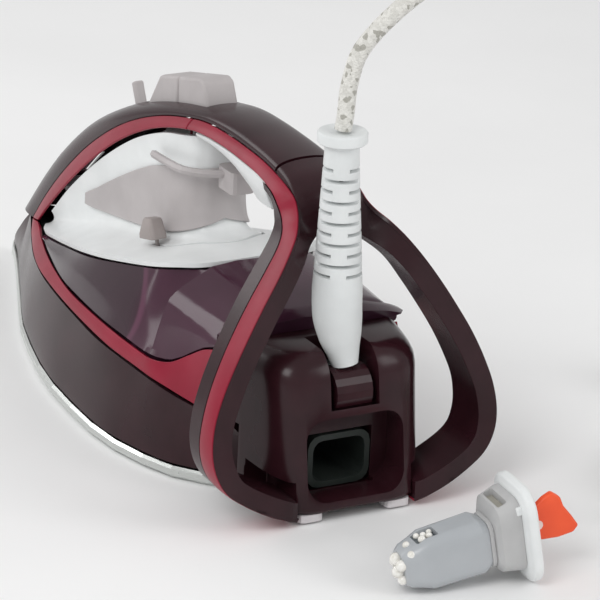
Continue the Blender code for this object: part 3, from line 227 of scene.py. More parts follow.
# Cord boot and its swivel
SWIVEL = (-133.0, 0.0, 47.0)
BOOT = [
    ((-133, 0, 56.4), 5.0), ((-132.2, 0.7, 61), 6.2), ((-131.2, 1.9, 68), 8.2), ((-130.3, 2.8, 76), 9.3),
    ((-130, 3.1, 84), 9.4), ((-130, 3.3, 93), 9.0), ((-130, 3.4, 104), 8.4), ((-130, 3.6, 116), 7.7),
    ((-130, 3.8, 129), 7.0), ((-130, 3.9, 139), 6.5), ((-130, 3.9, 142.4), 6.6), ((-130, 3.9, 143), 9.4),
    ((-130, 3.9, 147), 9.4),
]

# Collector, in its own frame: length from the nose, half height and half width
COLLECTOR_PLACE = (-210.3, 17.8, 9.6)
COLLECTOR_YAW, COLLECTOR_PITCH = -95.3, -10.9


def along(table, x):
    """Smooth value of a station table at x, with no overshoot between its stations."""
    if x <= table[0][0]:
        return table[0][1]
    if x >= table[-1][0]:
        return table[-1][1]
    slopes = [(b[1] - a[1]) / (b[0] - a[0]) for a, b in zip(table, table[1:])]
    tangents = [slopes[0]]
    for before, after in zip(slopes, slopes[1:]):
        tangents.append(0.0 if before * after <= 0 else 2 * before * after / (before + after))
    tangents.append(slopes[-1])
    i = max(k for k in range(len(slopes)) if table[k][0] <= x)
    span = table[i + 1][0] - table[i][0]
    t = (x - table[i][0]) / span
    return (
        table[i][1] * (1 + 2 * t) * (1 - t) ** 2
        + tangents[i] * span * t * (1 - t) ** 2
        + table[i + 1][1] * t * t * (3 - 2 * t)
        - tangents[i + 1] * span * t * t * (1 - t)
    )


def between(points, t):
    """Point at parameter t on the Catmull-Rom curve through points, which lie at t = 0, 1, 2 and so on."""
    i = min(int(t), len(points) - 2)
    f = t - i
    p1, p2 = Vector(points[i]), Vector(points[i + 1])
    p0 = Vector(points[i - 1]) if i else 2 * p1 - p2
    p3 = Vector(points[i + 2]) if i + 2 < len(points) else 2 * p2 - p1
    square, cube = 2 * p0 - 5 * p1 + 4 * p2 - p3, 3 * p1 - p0 - 3 * p2 + p3
    return 0.5 * (2 * p1 + (p2 - p0) * f + square * f * f + cube * f ** 3)


def steps(first, last, count):
    return [first + (last - first) * k / (count - 1) for k in range(count)]


def even_path(points, count):
    """count points at equal distances along the smooth curve through points."""
    fine = [between(points, t) for t in steps(0, len(points) - 1, 40 * len(points))]
    reach = [0.0]
    for a, b in zip(fine, fine[1:]):
        reach.append(reach[-1] + (b - a).length)
    path, k = [], 0
    for wanted in steps(0, reach[-1], count):
        while k < len(fine) - 2 and reach[k + 1] < wanted:
            k += 1
        share = (wanted - reach[k]) / (reach[k + 1] - reach[k])
        path.append(fine[k].lerp(fine[k + 1], share))
    return path


def rounded_rectangle(width, height, radius, corner_steps=2):
    """Points (u, v) of a rectangle with round corners about the origin."""
    points = []
    for sx, sy, first in ((1, 1, 0), (-1, 1, 90), (-1, -1, 180), (1, -1, 270)):
        for k in range(corner_steps + 1):
            a = math.radians(first + 90 * k / corner_steps)
            points.append((
                sx * (width / 2 - radius) + radius * math.cos(a),
                sy * (height / 2 - radius) + radius * math.sin(a),
            ))
    return points


def material(name):
    made = bpy.data.materials.new(name)
    made.use_nodes = True
    return made, made.node_tree.nodes, made.node_tree.links


def shade(name, low, high, rough, grain=400.0, bump=0.02, metallic=0.0, coat=0.0, scale=60.0, specular=0.5):
    """A surface whose colour wanders between low and high, with a fine moulded grain."""
    made, nodes, links = material(name)
    shader = nodes["Principled BSDF"]
    shader.inputs["Metallic"].default_value = metallic
    shader.inputs["Coat Weight"].default_value = coat
    shader.inputs["Coat Roughness"].default_value = 0.12
    shader.inputs["Specular IOR Level"].default_value = specular
    place = nodes.new("ShaderNodeTexCoord")
    cloud = nodes.new("ShaderNodeTexNoise")
    cloud.inputs["Scale"].default_value = scale
    cloud.inputs["Detail"].default_value = 5.0
    ramp = nodes.new("ShaderNodeValToRGB")
    ramp.color_ramp.elements[0].position, ramp.color_ramp.elements[1].position = 0.35, 0.65
    ramp.color_ramp.elements[0].color, ramp.color_ramp.elements[1].color = (*low, 1.0), (*high, 1.0)
    spread = nodes.new("ShaderNodeMapRange")
    spread.inputs["To Min"].default_value, spread.inputs["To Max"].default_value = rough * 0.85, rough * 1.15
    fine = nodes.new("ShaderNodeTexNoise")
    fine.inputs["Scale"].default_value = grain
    fine.inputs["Detail"].default_value = 3.0
    lift = nodes.new("ShaderNodeBump")
    lift.inputs["Strength"].default_value = bump
    lift.inputs["Distance"].default_value = 0.0005
    links.new(place.outputs["Object"], cloud.inputs["Vector"])
    links.new(place.outputs["Object"], fine.inputs["Vector"])
    links.new(cloud.outputs["Fac"], ramp.inputs["Fac"])
    links.new(ramp.outputs["Color"], shader.inputs["Base Color"])
    links.new(fine.outputs["Fac"], spread.inputs["Value"])
    links.new(spread.outputs["Result"], shader.inputs["Roughness"])
    links.new(fine.outputs["Fac"], lift.inputs["Height"])
    links.new(lift.outputs["Normal"], shader.inputs["Normal"])
    return made


def brushed(name, colour, rough):
    """Metal with long fine marks along X."""
    made = shade(name, [c * 0.93 for c in colour], colour, rough, 900.0, 0.04, 1.0)
    nodes, links = made.node_tree.nodes, made.node_tree.links
    stretch = nodes.new("ShaderNodeMapping")
    stretch.inputs["Scale"].default_value = (0.04, 1.0, 1.0)
    place = next(n for n in nodes if n.type == "TEX_COORD")
    links.new(place.outputs["Object"], stretch.inputs["Vector"])
    for noise in [n for n in nodes if n.type == "TEX_NOISE"]:
        links.new(stretch.outputs["Vector"], noise.inputs["Vector"])
    return made


def braid():
    """Cream textile braid with grey flecks. UV: u once round the lead, v in millimetres along it."""
    made, nodes, links = material("textile_braid")
    shader = nodes["Principled BSDF"]
    shader.inputs["Roughness"].default_value = 0.85
    shader.inputs["Sheen Weight"].default_value = 0.3
    place = nodes.new("ShaderNodeTexCoord")
    strands = []
    for sign in (1.0, -1.0):
        turn = nodes.new("ShaderNodeMapping")
        turn.inputs["Scale"].default_value = (10.0, 0.55, 1.0)
        skew = nodes.new("ShaderNodeVectorMath")
        skew.operation = "DOT_PRODUCT"
        skew.inputs[1].default_value = (1.0, sign, 0.0)
        wave = nodes.new("ShaderNodeMath")
        wave.operation = "PINGPONG"
        wave.inputs[1].default_value = 0.5
        links.new(place.outputs["UV"], turn.inputs["Vector"])
        links.new(turn.outputs["Vector"], skew.inputs[0])
        links.new(skew.outputs["Value"], wave.inputs[0])
        strands.append(wave)
    weave = nodes.new("ShaderNodeMath")
    weave.operation = "MAXIMUM"
    links.new(strands[0].outputs[0], weave.inputs[0])
    links.new(strands[1].outputs[0], weave.inputs[1])
    fleck_place = nodes.new("ShaderNodeMapping")
    fleck_place.inputs["Scale"].default_value = (12.0, 0.62, 1.0)
    fleck = nodes.new("ShaderNodeTexVoronoi")
    fleck.inputs["Scale"].default_value = 1.0
    fleck.inputs["Randomness"].default_value = 0.9
    links.new(place.outputs["UV"], fleck_place.inputs["Vector"])
    links.new(fleck_place.outputs["Vector"], fleck.inputs["Vector"])
    choose = nodes.new("ShaderNodeSeparateColor")
    links.new(fleck.outputs["Color"], choose.inputs["Color"])
    ramp = nodes.new("ShaderNodeValToRGB")
    ramp.color_ramp.interpolation = "CONSTANT"
    ramp.color_ramp.elements[0].position, ramp.color_ramp.elements[1].position = 0.0, 0.14
    ramp.color_ramp.elements[0].color = (0.40, 0.39, 0.35, 1.0)
    ramp.color_ramp.elements[1].color = (0.66, 0.65, 0.61, 1.0)
    third = ramp.color_ramp.elements.new(0.62)
    third.color = (0.74, 0.73, 0.69, 1.0)
    links.new(choose.outputs["Red"], ramp.inputs["Fac"])
    links.new(ramp.outputs["Color"], shader.inputs["Base Color"])
    lift = nodes.new("ShaderNodeBump")
    lift.inputs["Strength"].default_value = 0.8
    lift.inputs["Distance"].default_value = 0.0006
    links.new(weave.outputs[0], lift.inputs["Height"])
    links.new(lift.outputs["Normal"], shader.inputs["Normal"])
    return made


def tinted_tank():
    """Purple see-through plastic over a darker inner chamber, whose outline shows as a paler line."""
    made = shade("tinted_tank", (0.045, 0.014, 0.028), (0.062, 0.021, 0.039), 0.13, 200, 0.003, scale=25,
        specular=0.25)
    nodes, links = made.node_tree.nodes, made.node_tree.links
    shader = nodes["Principled BSDF"]
    shader.inputs["Coat Weight"].default_value = 0.12
    place = next(n for n in nodes if n.type == "TEX_COORD")
    ramp = next(n for n in nodes if n.type == "VALTORGB")
    # The chamber is an ellipsoid in the tank's side view; its distance field gives the dark inside and the pale rim
    shift = nodes.new("ShaderNodeMapping")
    shift.inputs["Location"].default_value = (0.0, 0.0, -1.27)
    shift.inputs["Rotation"].default_value = (0.0, math.radians(-13.0), 0.0)
    shift.inputs["Scale"].default_value = (12.5, 0.0, 26.0)
    shift.vector_type = "POINT"
    size = nodes.new("ShaderNodeVectorMath")
    size.operation = "LENGTH"
    bands = nodes.new("ShaderNodeValToRGB")
    stops = bands.color_ramp.elements
    stops[0].position, stops[0].color = 0.0, (0.52, 0.48, 0.5, 1.0)
    stops[1].position, stops[1].color = 1.0, (1.0, 1.0, 1.0, 1.0)
    for position, level in ((0.80, 0.55), (0.845, 0.62), (0.865, 1.75), (0.885, 1.75), (0.91, 1.0)):
        stop = stops.new(position)
        stop.color = (level, level, level, 1.0)
    mix = nodes.new("ShaderNodeMix")
    mix.data_type, mix.blend_type = "RGBA", "MULTIPLY"
    mix.inputs["Factor"].default_value = 1.0
    links.new(place.outputs["Object"], shift.inputs["Vector"])
    links.new(shift.outputs["Vector"], size.inputs[0])
    links.new(size.outputs["Value"], bands.inputs["Fac"])
    links.new(ramp.outputs["Color"], mix.inputs[6])
    links.new(bands.outputs["Color"], mix.inputs[7])
    links.new(mix.outputs[2], shader.inputs["Base Color"])
    return made


LOOKS = {
    "burgundy": shade("burgundy_gloss", (0.021, 0.0055, 0.008), (0.029, 0.008, 0.0115), 0.24, 500, 0.004,
        specular=0.28),
    "red": shade("crimson_gloss", (0.235, 0.004, 0.022), (0.275, 0.006, 0.028), 0.36, 500, 0.004,
        specular=0.28),
    "white": shade("white_satin", (0.74, 0.76, 0.76), (0.80, 0.82, 0.82), 0.36, 900, 0.03, specular=0.4),
    "grey": shade("grey_grain", (0.43, 0.40, 0.40), (0.48, 0.45, 0.45), 0.5, 1400, 0.10, specular=0.3),
    "knob": shade("warm_grey", (0.27, 0.24, 0.23), (0.33, 0.29, 0.28), 0.5, 1400, 0.10, specular=0.3),
    "boot": shade("boot_white", (0.68, 0.70, 0.70), (0.74, 0.76, 0.76), 0.5, 900, 0.08, specular=0.3),
    "dark": shade("dark_moulding", (0.018, 0.020, 0.019), (0.028, 0.031, 0.029), 0.45, 900, 0.08,
        specular=0.3),
    "rim": shade("socket_rim", (0.020, 0.026, 0.023), (0.030, 0.036, 0.033), 0.4, 900, 0.05, specular=0.3),
    "black": shade("black_plastic", (0.008, 0.008, 0.009), (0.013, 0.013, 0.014), 0.4, 900, 0.05,
        specular=0.3),
    "rubber": shade("soft_rubber", (0.05, 0.05, 0.05), (0.07, 0.07, 0.07), 0.75, 700, 0.12, specular=0.3),
    # painted reflection: the heel pads are pale pink to stand for the white floor's reflection on the bottom bevel
    # of the heel legs
    "foot": shade("painted_floor_reflection", (0.55, 0.52, 0.53), (0.64, 0.61, 0.62), 0.6, 700, 0.10, specular=0.3),
    "body": shade("rod_grey", (0.38, 0.40, 0.42), (0.44, 0.46, 0.48), 0.35, 900, 0.04, coat=0.15, scale=30),
    "collar": shade("collar_grey", (0.44, 0.44, 0.44), (0.50, 0.50, 0.50), 0.45, 1200, 0.06),
    "smoke": shade("rod_window", (0.07, 0.085, 0.095), (0.12, 0.14, 0.15), 0.3, 900, 0.05),
    "bead": shade("resin_bead", (0.70, 0.68, 0.62), (0.88, 0.87, 0.84), 0.18, 300, 0.05, coat=0.5, scale=500),
    "orange": shade("orange_tag", (0.80, 0.070, 0.012), (0.88, 0.092, 0.018), 0.42, 900, 0.05, coat=0.1),
    "emblem": shade("pale_emblem", (0.80, 0.62, 0.58), (0.86, 0.70, 0.66), 0.5, 900, 0.05),
    "beige": shade("beige_slot", (0.30, 0.29, 0.25), (0.38, 0.36, 0.31), 0.6, 900, 0.05),
    "pink": shade("clear_pink", (0.58, 0.36, 0.44), (0.66, 0.43, 0.51), 0.15, 300, 0.02, coat=0.4),
    "sole": brushed("sole_aluminium", (0.70, 0.72, 0.70), 0.26),
    "casting": shade("cast_aluminium", (0.45, 0.45, 0.46), (0.56, 0.56, 0.57), 0.5, 500, 0.25, 1.0),
    "steel": brushed("steel", (0.60, 0.60, 0.60), 0.3),
    "brass": brushed("brass", (0.70, 0.52, 0.22), 0.32),
    "plug": shade("plug_grey", (0.66, 0.66, 0.65), (0.72, 0.72, 0.71), 0.5, 900, 0.06),
    "tank": tinted_tank(),
    "cord": braid(),
}

NODE_LOOKS = {
    "sole": ["soleplate"],
    "casting": ["heater_casting"],
    "steel": ["heating_element", "steam_chamber_lid", "shield_screw_front", "shield_screw_rear",
        "plug_pin_left", "plug_pin_right"],
    "brass": ["thermostat"],
    "dark": ["heat_shield", "selector_ring", "coil_tie"],
    "rim": ["collector_socket"],
    "black": ["spray_nozzle"],
    "white": ["thermal_fuse", "terminal_block", "spray_pipe", "spray_pump", "boost_pump", "inlet_funnel",
        "collector_body", "collector_cap"],
    # the heel pads carry the painted reflection of the floor on the heel legs' bottom bevel
    "rubber": ["collector_seal"],
    "foot": ["heel_pad_left", "heel_pad_right"],
    "burgundy": ["heel_housing", "cord_swivel"],
    "grey": ["spray_button", "steam_boost_button", "steam_lever", "trigger"],
    "pink": ["inlet_flap"],
    "collar": ["collector_collar"],
    "orange": ["collector_tag"],
    "plug": ["plug_body"],
}
for look, names in NODE_LOOKS.items():
    for node in names:
        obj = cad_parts[node]
        obj.data.materials.clear()
        obj.data.materials.append(LOOKS[look])


def soften(obj, width, segments=3, angle=32):
    bevel = obj.modifiers.new("edge", "BEVEL")
    bevel.width, bevel.segments = width * MM, segments
    bevel.limit_method, bevel.angle_limit = "ANGLE", math.radians(angle)
    bevel.harden_normals = False
    return obj


def face_outwards(work):
    bmesh.ops.recalc_face_normals(work, faces=work.faces)
    if work.calc_volume(signed=True) < 0:
        bmesh.ops.reverse_faces(work, faces=work.faces)


def piece(name, points, faces, look, body="iron", stands_for=(), angle=40, closed=True):
    """A mesh piece from points in millimetres, which rides on a CAD body and stands for CAD nodes."""
    mesh = bpy.data.meshes.new(name)
    mesh.from_pydata([tuple(Vector(p) * MM) for p in points], [], faces)
    work = bmesh.new()
    work.from_mesh(mesh)
    bmesh.ops.remove_doubles(work, verts=work.verts, dist=1e-6)
    bmesh.ops.dissolve_degenerate(work, edges=work.edges, dist=1e-7)
    if closed:
        face_outwards(work)
    work.to_mesh(mesh)
    work.free()
    mesh.shade_smooth()
    mesh.set_sharp_from_angle(angle=math.radians(angle))
    mesh.materials.append(LOOKS[look])
    obj = bpy.data.objects.new(name, mesh)
    bpy.context.scene.collection.objects.link(obj)
    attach(obj, body)
    if stands_for:
        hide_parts(*stands_for)
    return obj


def loft(name, rings, look, closed_loop=False, **more):
    """A solid through closed rings of equally many points, capped at both ends unless it closes on itself."""
    count = len(rings[0])
    points = [p for ring in rings for p in ring]
    faces = []
    pairs = len(rings) if closed_loop else len(rings) - 1
    for i in range(pairs):
        a, b = i * count, ((i + 1) % len(rings)) * count
        for j in range(count):
            k = (j + 1) % count
            faces.append((a + j, a + k, b + k, b + j))
    if not closed_loop:
        faces.append(tuple(range(count)))
        faces.append(tuple(range(len(points) - 1, len(points) - 1 - count, -1)))
    return piece(name, points, faces, look, **more)


def grid_normals(grid, outward):
    """Unit normals of a grid of points; outward is roughly the normal wanted at its first point."""
    rows, columns = len(grid), len(grid[0])
    normals = []
    for i in range(rows):
        line = []
        for j in range(columns):
            across = grid[min(i + 1, rows - 1)][j] - grid[max(i - 1, 0)][j]
            onward = grid[i][min(j + 1, columns - 1)] - grid[i][max(j - 1, 0)]
            line.append(onward.cross(across).normalized())
        normals.append(line)
    sign = 1.0 if normals[0][0].dot(Vector(outward)) > 0 else -1.0
    return [[n * sign for n in line] for line in normals]


def lifted(grid, outward, rise):
    grid = [[Vector(p) for p in row] for row in grid]
    return [[p + n * rise for p, n in zip(row, line)] for row, line in zip(grid, grid_normals(grid, outward))]


def shell(name, grid, thickness, look, outward, edge=0.0, **more):
    """A skin of even thickness under a grid of outer points."""
    grid = [[Vector(p) for p in row] for row in grid]
    inner = lifted(grid, outward, -thickness)
    rows, columns = len(grid), len(grid[0])
    size = rows * columns
    points = [p for row in grid for p in row] + [p for row in inner for p in row]
    faces = []
    for i in range(rows - 1):
        for j in range(columns - 1):
            a, b, c, d = i * columns + j, i * columns + j + 1, (i + 1) * columns + j + 1, (i + 1) * columns + j
            faces.append((a, b, c, d))
            faces.append((size + a, size + d, size + c, size + b))
    for j in range(columns - 1):
        last = (rows - 1) * columns
        faces.append((j, size + j, size + j + 1, j + 1))
        faces.append((last + j, last + j + 1, size + last + j + 1, size + last + j))
    for i in range(rows - 1):
        for j in (0, columns - 1):
            a, d = i * columns + j, (i + 1) * columns + j
            faces.append((a, d, size + d, size + a))
    made = piece(name, points, faces, look, **more)
    return soften(made, edge, 2, 50) if edge else made


def mirrored(grid):
    return [[Vector((p[0], -p[1], p[2])) for p in row] for row in grid]


def cut(target, tool):
    """Takes tool's shape out of target for good."""
    modifier = target.modifiers.new("cut", "BOOLEAN")
    modifier.object, modifier.operation, modifier.solver = tool, "DIFFERENCE", "EXACT"
    with bpy.context.temp_override(object=target, active_object=target):
        bpy.ops.object.modifier_apply(modifier="cut")
    bpy.data.objects.remove(tool, do_unlink=True)


def seam_height(x):
    return SEAM_HEIGHT + SEAM_SLOPE * x


def skirt_grid(levels=5, stations=24):
    """Outer face of the skirt from its left rear end round the nose to its right rear end."""
    left = []
    for k in range(stations):
        t = math.sin(0.5 * math.pi * k / (stations - 1))
        column = []
        for share in steps(0, 1, levels):
            tip = 166.0 - 25.0 * share ** 0.9
            x = -112.5 + (tip + 112.5) * t
            low, high = along(SOLE_PLAN, x) - 1.2, along(SHOULDER_PLAN, x)
            width = low + (high - low) * share ** 1.35
            height = SOLE_TOP + 1.0 + (along(SKIRT_TOP, x) - SOLE_TOP - 1.0) * share
            start = 118.0
            if x > start:
                low, high = along(SOLE_PLAN, start) - 1.2, along(SHOULDER_PLAN, start)
                wide = low + (high - low) * share ** 1.35
                width = min(width, wide * math.sqrt(max(0.0, 1 - ((x - start) / (tip - start)) ** 2)))
            column.append(Vector((x, width if k < stations - 1 else 0.0, height)))
        left.append(column)
    return left + [[Vector((p.x, -p.y, p.z)) for p in column] for column in reversed(left[:-1])]


def band_grid(stations=24, across=3):
    """Outer face of the left flank band, from its lower edge to its upper edge."""
    grid = []
    for t in steps(0, len(BAND) - 1, stations):
        low, high = between([b[0] for b in BAND], t), between([b[1] for b in BAND], t)
        row = []
        for share in steps(0, 1, across):
            point = low.lerp(high, share)
            point.y += 0.05 * (high - low).length * 4 * share * (1 - share)
            row.append(point)
        grid.append(row)
    return grid


def tank_ring(x, lift=None):
    """Section of the tank at station x; lift raises everything below it, for the tail over the heel."""
    shoulder = along(SHOULDER_PLAN, x) - 4.2
    band_z, band_y = along(TANK_EDGE_HEIGHT, x), along(TANK_EDGE_WIDTH, x)
    low = min(shoulder, band_y - 4.0)
    top = seam_height(x) - 2.7
    if x > TANK_STEP:
        band_z = min(band_z, top - 1.2)
    half = [(low - 2, TANK_BOTTOM), (low, TANK_BOTTOM + 1.8)]
    half += [(band_y - 4.0, band_z - 0.9), (band_y - 0.8, band_z + 0.9)]
    if x > TANK_STEP:
        rim = along(TANK_RIM, x)
        half += [((band_y + rim) / 2 + 0.3, (band_z + top) / 2), (rim - 0.7, top), (rim * 0.5, top), (0, top)]
    else:
        half += [
            (along([(-100, 38.6), (-63, 41.2)], x), max(59.0, band_z + 1.4)),
            (along([(-112, 31), (-63, 36.5)], x), 66),
            (along([(-112, 17), (-63, 21)], x), along([(-112, 68.5), (-80, 73), (-63, 74.4)], x)),
            (0, along([(-112, 69), (-80, 74), (-63, 75.2)], x)),
        ]
    if lift:
        half = [(y, max(z, lift + 0.6 * k)) for k, (y, z) in enumerate(half)]
    return [Vector((x, y, z)) for y, z in half] + [Vector((x, -y, z)) for y, z in reversed(half[:-1])]


def deck_point(u, v):
    """Point of the left half of the deck's outer face: u along the seam from the front, v upwards from it."""
    seam = between([d[0] for d in DECK], u)
    top = between([d[1] for d in DECK], u)
    spine = Vector((min(max(seam.x - 4, -14.0), 80.0), 0, seam.z))
    reach = min(1.0, (top.z - seam.z) / 38.0)
    first = seam.lerp(top, 0.3).lerp(seam.lerp(spine, 0.37), reach)
    second = seam.lerp(top, 0.6).lerp(seam.lerp(spine, 0.74), reach)
    place = seam * (1 - v) ** 3 + first * 3 * v * (1 - v) ** 2 + second * 3 * v * v * (1 - v) + top * v ** 3
    rise = DISH_RISE * reach
    climb = top.z - seam_height(top.x) - rise
    place.z = seam_height(place.x) + (seam.z - seam_height(seam.x)) * (1 - v)
    place.z += rise * (1 - (1 - v) ** 2) + climb * v ** (1.2 + 4.8 * reach)
    return place


def whole_low(u):
    return 0.0


def whole_high(u):
    return 1.0


def deck_grid(columns, rows, first, low, high):
    """Deck surface from the left front round the rear to the right front; low and high give v over u."""
    last = len(DECK) - 1
    grid = []
    for k in range(rows):
        row = []
        for u in steps(first, last, columns):
            row.append(deck_point(u, low(u) + (high(u) - low(u)) * k / (rows - 1)))
        row[-1].y = 0.0
        grid.append(row + [Vector((p.x, -p.y, p.z)) for p in reversed(row[:-1])])
    return grid


def trim_pair(t):
    """Upper and lower edge of the left trim at station t, and the unit normal of its face."""
    upper, lower = between([p[0] for p in TRIM_ROUTE], t), between([p[1] for p in TRIM_ROUTE], t)
    last = len(TRIM_ROUTE) - 1
    edge = [p[0] for p in TRIM_ROUTE]
    ahead = between(edge, min(t + 0.25, last)) - between(edge, max(t - 0.25, 0))
    return upper, lower, ahead.cross(lower - upper).normalized() * -1.0


def crown_point(t, angle):
    """Point of the handle's top shell: angle 0 at the left edge, pi at the right edge."""
    edge = between([p[0] for p in TRIM_ROUTE[:SHELL_END + 1]], t)
    ridge = between([Vector((x, 0, z)) for x, z in CROWN], t)
    rise = math.sin(angle) ** 0.8 if 0 < angle < math.pi else 0.0
    x, z = edge.x + (ridge.x - edge.x) * rise, edge.z + (ridge.z - edge.z) * rise
    return Vector((x, edge.y * math.cos(angle), z))


def crown_grid(first, last, rows, columns, start=0.0, end=math.pi):
    return [[crown_point(t, a) for a in steps(start, end, columns)] for t in steps(first, last, rows)]


def cheek_grid(rows=12):
    """Left inner face of the grip, from under the trim to the edge of the grip's liner."""
    grid = []
    for x in steps(-33.5, -91.0, rows):
        low, high = along(CHEEK_LOW, x), along(CHEEK_HIGH, x)
        grid.append([Vector((x, 14.7, high)), Vector((x, 13.2, (low + high) / 2)), Vector((x, 10.4, low))])
    return grid


def liner_low(u):
    """Lower edge of the column's liner, as deck_point's v."""
    return 0.90 - 0.25 * min(1.0, max(0.0, (u - 1.6) / 3.4)) ** 0.6 * (1 - 0.09 * max(0.0, u - 6))


def liner_high(u):
    """Upper edge of the column's liner, as deck_point's v."""
    return 0.905 + 0.035 * min(1.0, (u - 1.6) / 3.0)


def collector_frame():
    return (
        Matrix.Translation(Vector(COLLECTOR_PLACE))
        @ Matrix.Rotation(math.radians(COLLECTOR_YAW), 4, "Z")
        @ Matrix.Rotation(math.radians(COLLECTOR_PITCH), 4, "Y")
    )


def frame_of(axis_points):
    """Unit directions along a path of points."""
    last = len(axis_points) - 1
    return [(axis_points[min(i + 1, last)] - axis_points[max(i - 1,
        0)]).normalized() for i in range(last + 1)]


def swept(path, radii, sides):
    """Rings of the stated radii round the points of a path, with no twist between them."""
    rings, side = [], None
    for p, ahead, radius in zip(path, frame_of(path), radii):
        side = side or ahead.orthogonal().normalized()
        side = (side - ahead * side.dot(ahead)).normalized()
        other = ahead.cross(side)
        turns = [2 * math.pi * k / sides for k in range(sides)]
        rings.append([p + radius * (side * math.cos(a) + other * math.sin(a)) for a in turns])
    return rings


def turned(name, profile, centre, axis, look, sides=48, **more):
    """A solid of revolution: profile is (distance along the axis, radius)."""
    axis = Vector(axis).normalized()
    side = axis.orthogonal().normalized()
    other = axis.cross(side)
    rings = []
    for reach, radius in profile:
        turns = [2 * math.pi * k / sides for k in range(sides)]
        rings.append([
            Vector(centre) + axis * reach + radius * (side * math.cos(a) + other * math.sin(a)) for a in turns
        ])
    return loft(name, rings, look, **more)


def smoothstep(t):
    t = min(1.0, max(0.0, t))
    return t * t * (3 - 2 * t)


def coil_path():
    """The stored part of the lead: three turns inwards, three back out on top of them, then down to the plug."""
    layer = (4.9, 11.4, 17.0)
    first = 130.8
    # From angle a to angle b (past first) the lead goes to that radius and height
    moves = [
        (0, 60, 40.5, layer[0]), (360, 420, 34.0, layer[0]), (720, 780, 27.5, layer[0]),
            (1020, 1080, 27.5, layer[1]),
        (1320, 1380, 34.0, layer[1]), (1680, 1740, 40.5, layer[1]), (1980, 2040, 37.25, layer[2]),
        (2240, 2285, 47.8, layer[2] - 3.0), (2262, 2314.2, 47.8, 3.9),
    ]
    path = []
    for angle in steps(3.0, 2311.0, 420):
        radius, height = 47.8, 4.4
        for start, end, to_radius, to_height in moves:
            share = smoothstep((angle - start) / (end - start))
            radius += (to_radius - radius) * share
            height += (to_height - height) * share
        a = math.radians(first + angle)
        path.append(Vector((COIL_CENTRE[0] + radius * math.cos(a), COIL_CENTRE[1] + radius * math.sin(a),
            height)))
    return path


def cord():
    route = even_path(LEAD_ROUTE, 110)[:-1] + coil_path() + even_path(TAIL_ROUTE, 14)[1:]
    for _ in range(2):
        route = even_path(route, 640)
    sides = 16
    rings = swept(route, [CORD_DIAMETER / 2] * len(route), sides)
    obj = loft("textile_cord", rings, "cord", stands_for=("cord_tube", "cord_coil", "cord_tail"))
    layer = obj.data.uv_layers.new(name="UVMap")
    reach = [0.0]
    for a, b in zip(route, route[1:]):
        reach.append(reach[-1] + (b - a).length)
    for face in obj.data.polygons:
        ends = [v % sides for v in face.vertices]
        wraps = len(ends) == 4 and {0, sides - 1} <= set(ends)
        for loop, vertex, around in zip(face.loop_indices, face.vertices, ends):
            turn = 1.0 if wraps and around == 0 else around / sides
            layer.data[loop].uv = (turn, reach[vertex // sides])
    obj.parent = None
    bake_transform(obj)
    return obj


def cord_ends():
    high, wide = 15.9, 21.8
    rings = []
    section = rounded_rectangle(wide, high - 0.4, 5.0, 6)
    inner = rounded_rectangle(wide - 1.6, high - 2.0, 4.3, 6)
    for plan, x in ((section, -3.2), (section, 3.2), (inner, 3.2), (inner, -3.2)):
        rings.append([Vector((COIL_CENTRE[0] + x, COIL_CENTRE[1] - 34.0 - u, high / 2 + 0.3 + v)) for u,
            v in plan])
    tie = loft("lead_tie", rings, "rubber", closed_loop=True, stands_for=("coil_tie",))
    soften(tie, 0.3, 2)
    profile = [(-0.2, 3.9), (0.4, 4.4)]
    for k in range(5):
        profile += [(1.2 + 3.2 * k, 4.6 + 0.35 * k), (2.6 + 3.2 * k, 4.7 + 0.35 * k),
            (2.9 + 3.2 * k, 4.0 + 0.35 * k),
                    (3.9 + 3.2 * k, 4.1 + 0.35 * k)]
    profile += [(18, 6.6), (21, 9.2), (25, 13.2), (28.5, 16.6), (31, 17.8), (36, 18.3), (41.5, 18.3),
        (42.6, 17.7), (43, 16.8)]
    turned("mains_plug", profile, PLUG_CENTRE, (1, 0, 0), "plug", 56, stands_for=("plug_body",))


def camera_and_light():
    data = bpy.data.cameras.new("camera")
    camera = bpy.data.objects.new("camera", data)
    bpy.context.scene.collection.objects.link(camera)
    turn = Matrix((CAMERA_RIGHT, CAMERA_UP, CAMERA_RIGHT.cross(CAMERA_UP))).transposed().to_4x4()
    camera.matrix_world = Matrix.Translation(CAMERA_PLACE) @ turn
    data.lens, data.sensor_width = CAMERA_LENS, CAMERA_SENSOR
    data.clip_start, data.clip_end = 0.05, 20.0
    bpy.context.scene.camera = camera

    world = bpy.data.worlds.new("studio")
    world.use_nodes = True
    world.node_tree.nodes["Background"].inputs["Color"].default_value = (1.0, 1.0, 1.0, 1.0)
    world.node_tree.nodes["Background"].inputs["Strength"].default_value = WORLD_STRENGTH
    bpy.context.scene.world = world
    bpy.context.scene.view_settings.view_transform = "Standard"
    for name, place, aim, size, power in LIGHTS:
        light = bpy.data.lights.new(name, "AREA")
        light.shape, light.size, light.energy = "SQUARE", size, power
        lamp = bpy.data.objects.new(name, light)
        lamp.location = place
        lamp.rotation_euler = (Vector(aim) - Vector(place)).to_track_quat("-Z", "Y").to_euler()
        bpy.context.scene.collection.objects.link(lamp)

    mesh = bpy.data.meshes.new("floor")
    corners = ((-1, -1), (1, -1), (1, 1), (-1, 1))
    mesh.from_pydata([(x * FLOOR_REACH, y * FLOOR_REACH, FLOOR_HEIGHT) for x, y in corners], [],
        [(0, 1, 2, 3)])
    floor = bpy.data.objects.new("floor", mesh)
    bpy.context.scene.collection.objects.link(floor)
    mesh.materials.append(shade("pale_floor", (0.86, 0.86, 0.86), (0.90, 0.90, 0.90), 0.7, 60, 0.01, scale=4))


def crown_patch(name, first, last, rise, depth, start, look, rows=24, columns=30, **more):
    """A plate over the handle's top shell: rise above its face, depth thick, from angle start to pi - start."""
    grid = lifted(crown_grid(first, last, rows, columns, start, math.pi - start), UP, rise)
    return shell(name, grid, depth, look, UP, **more)


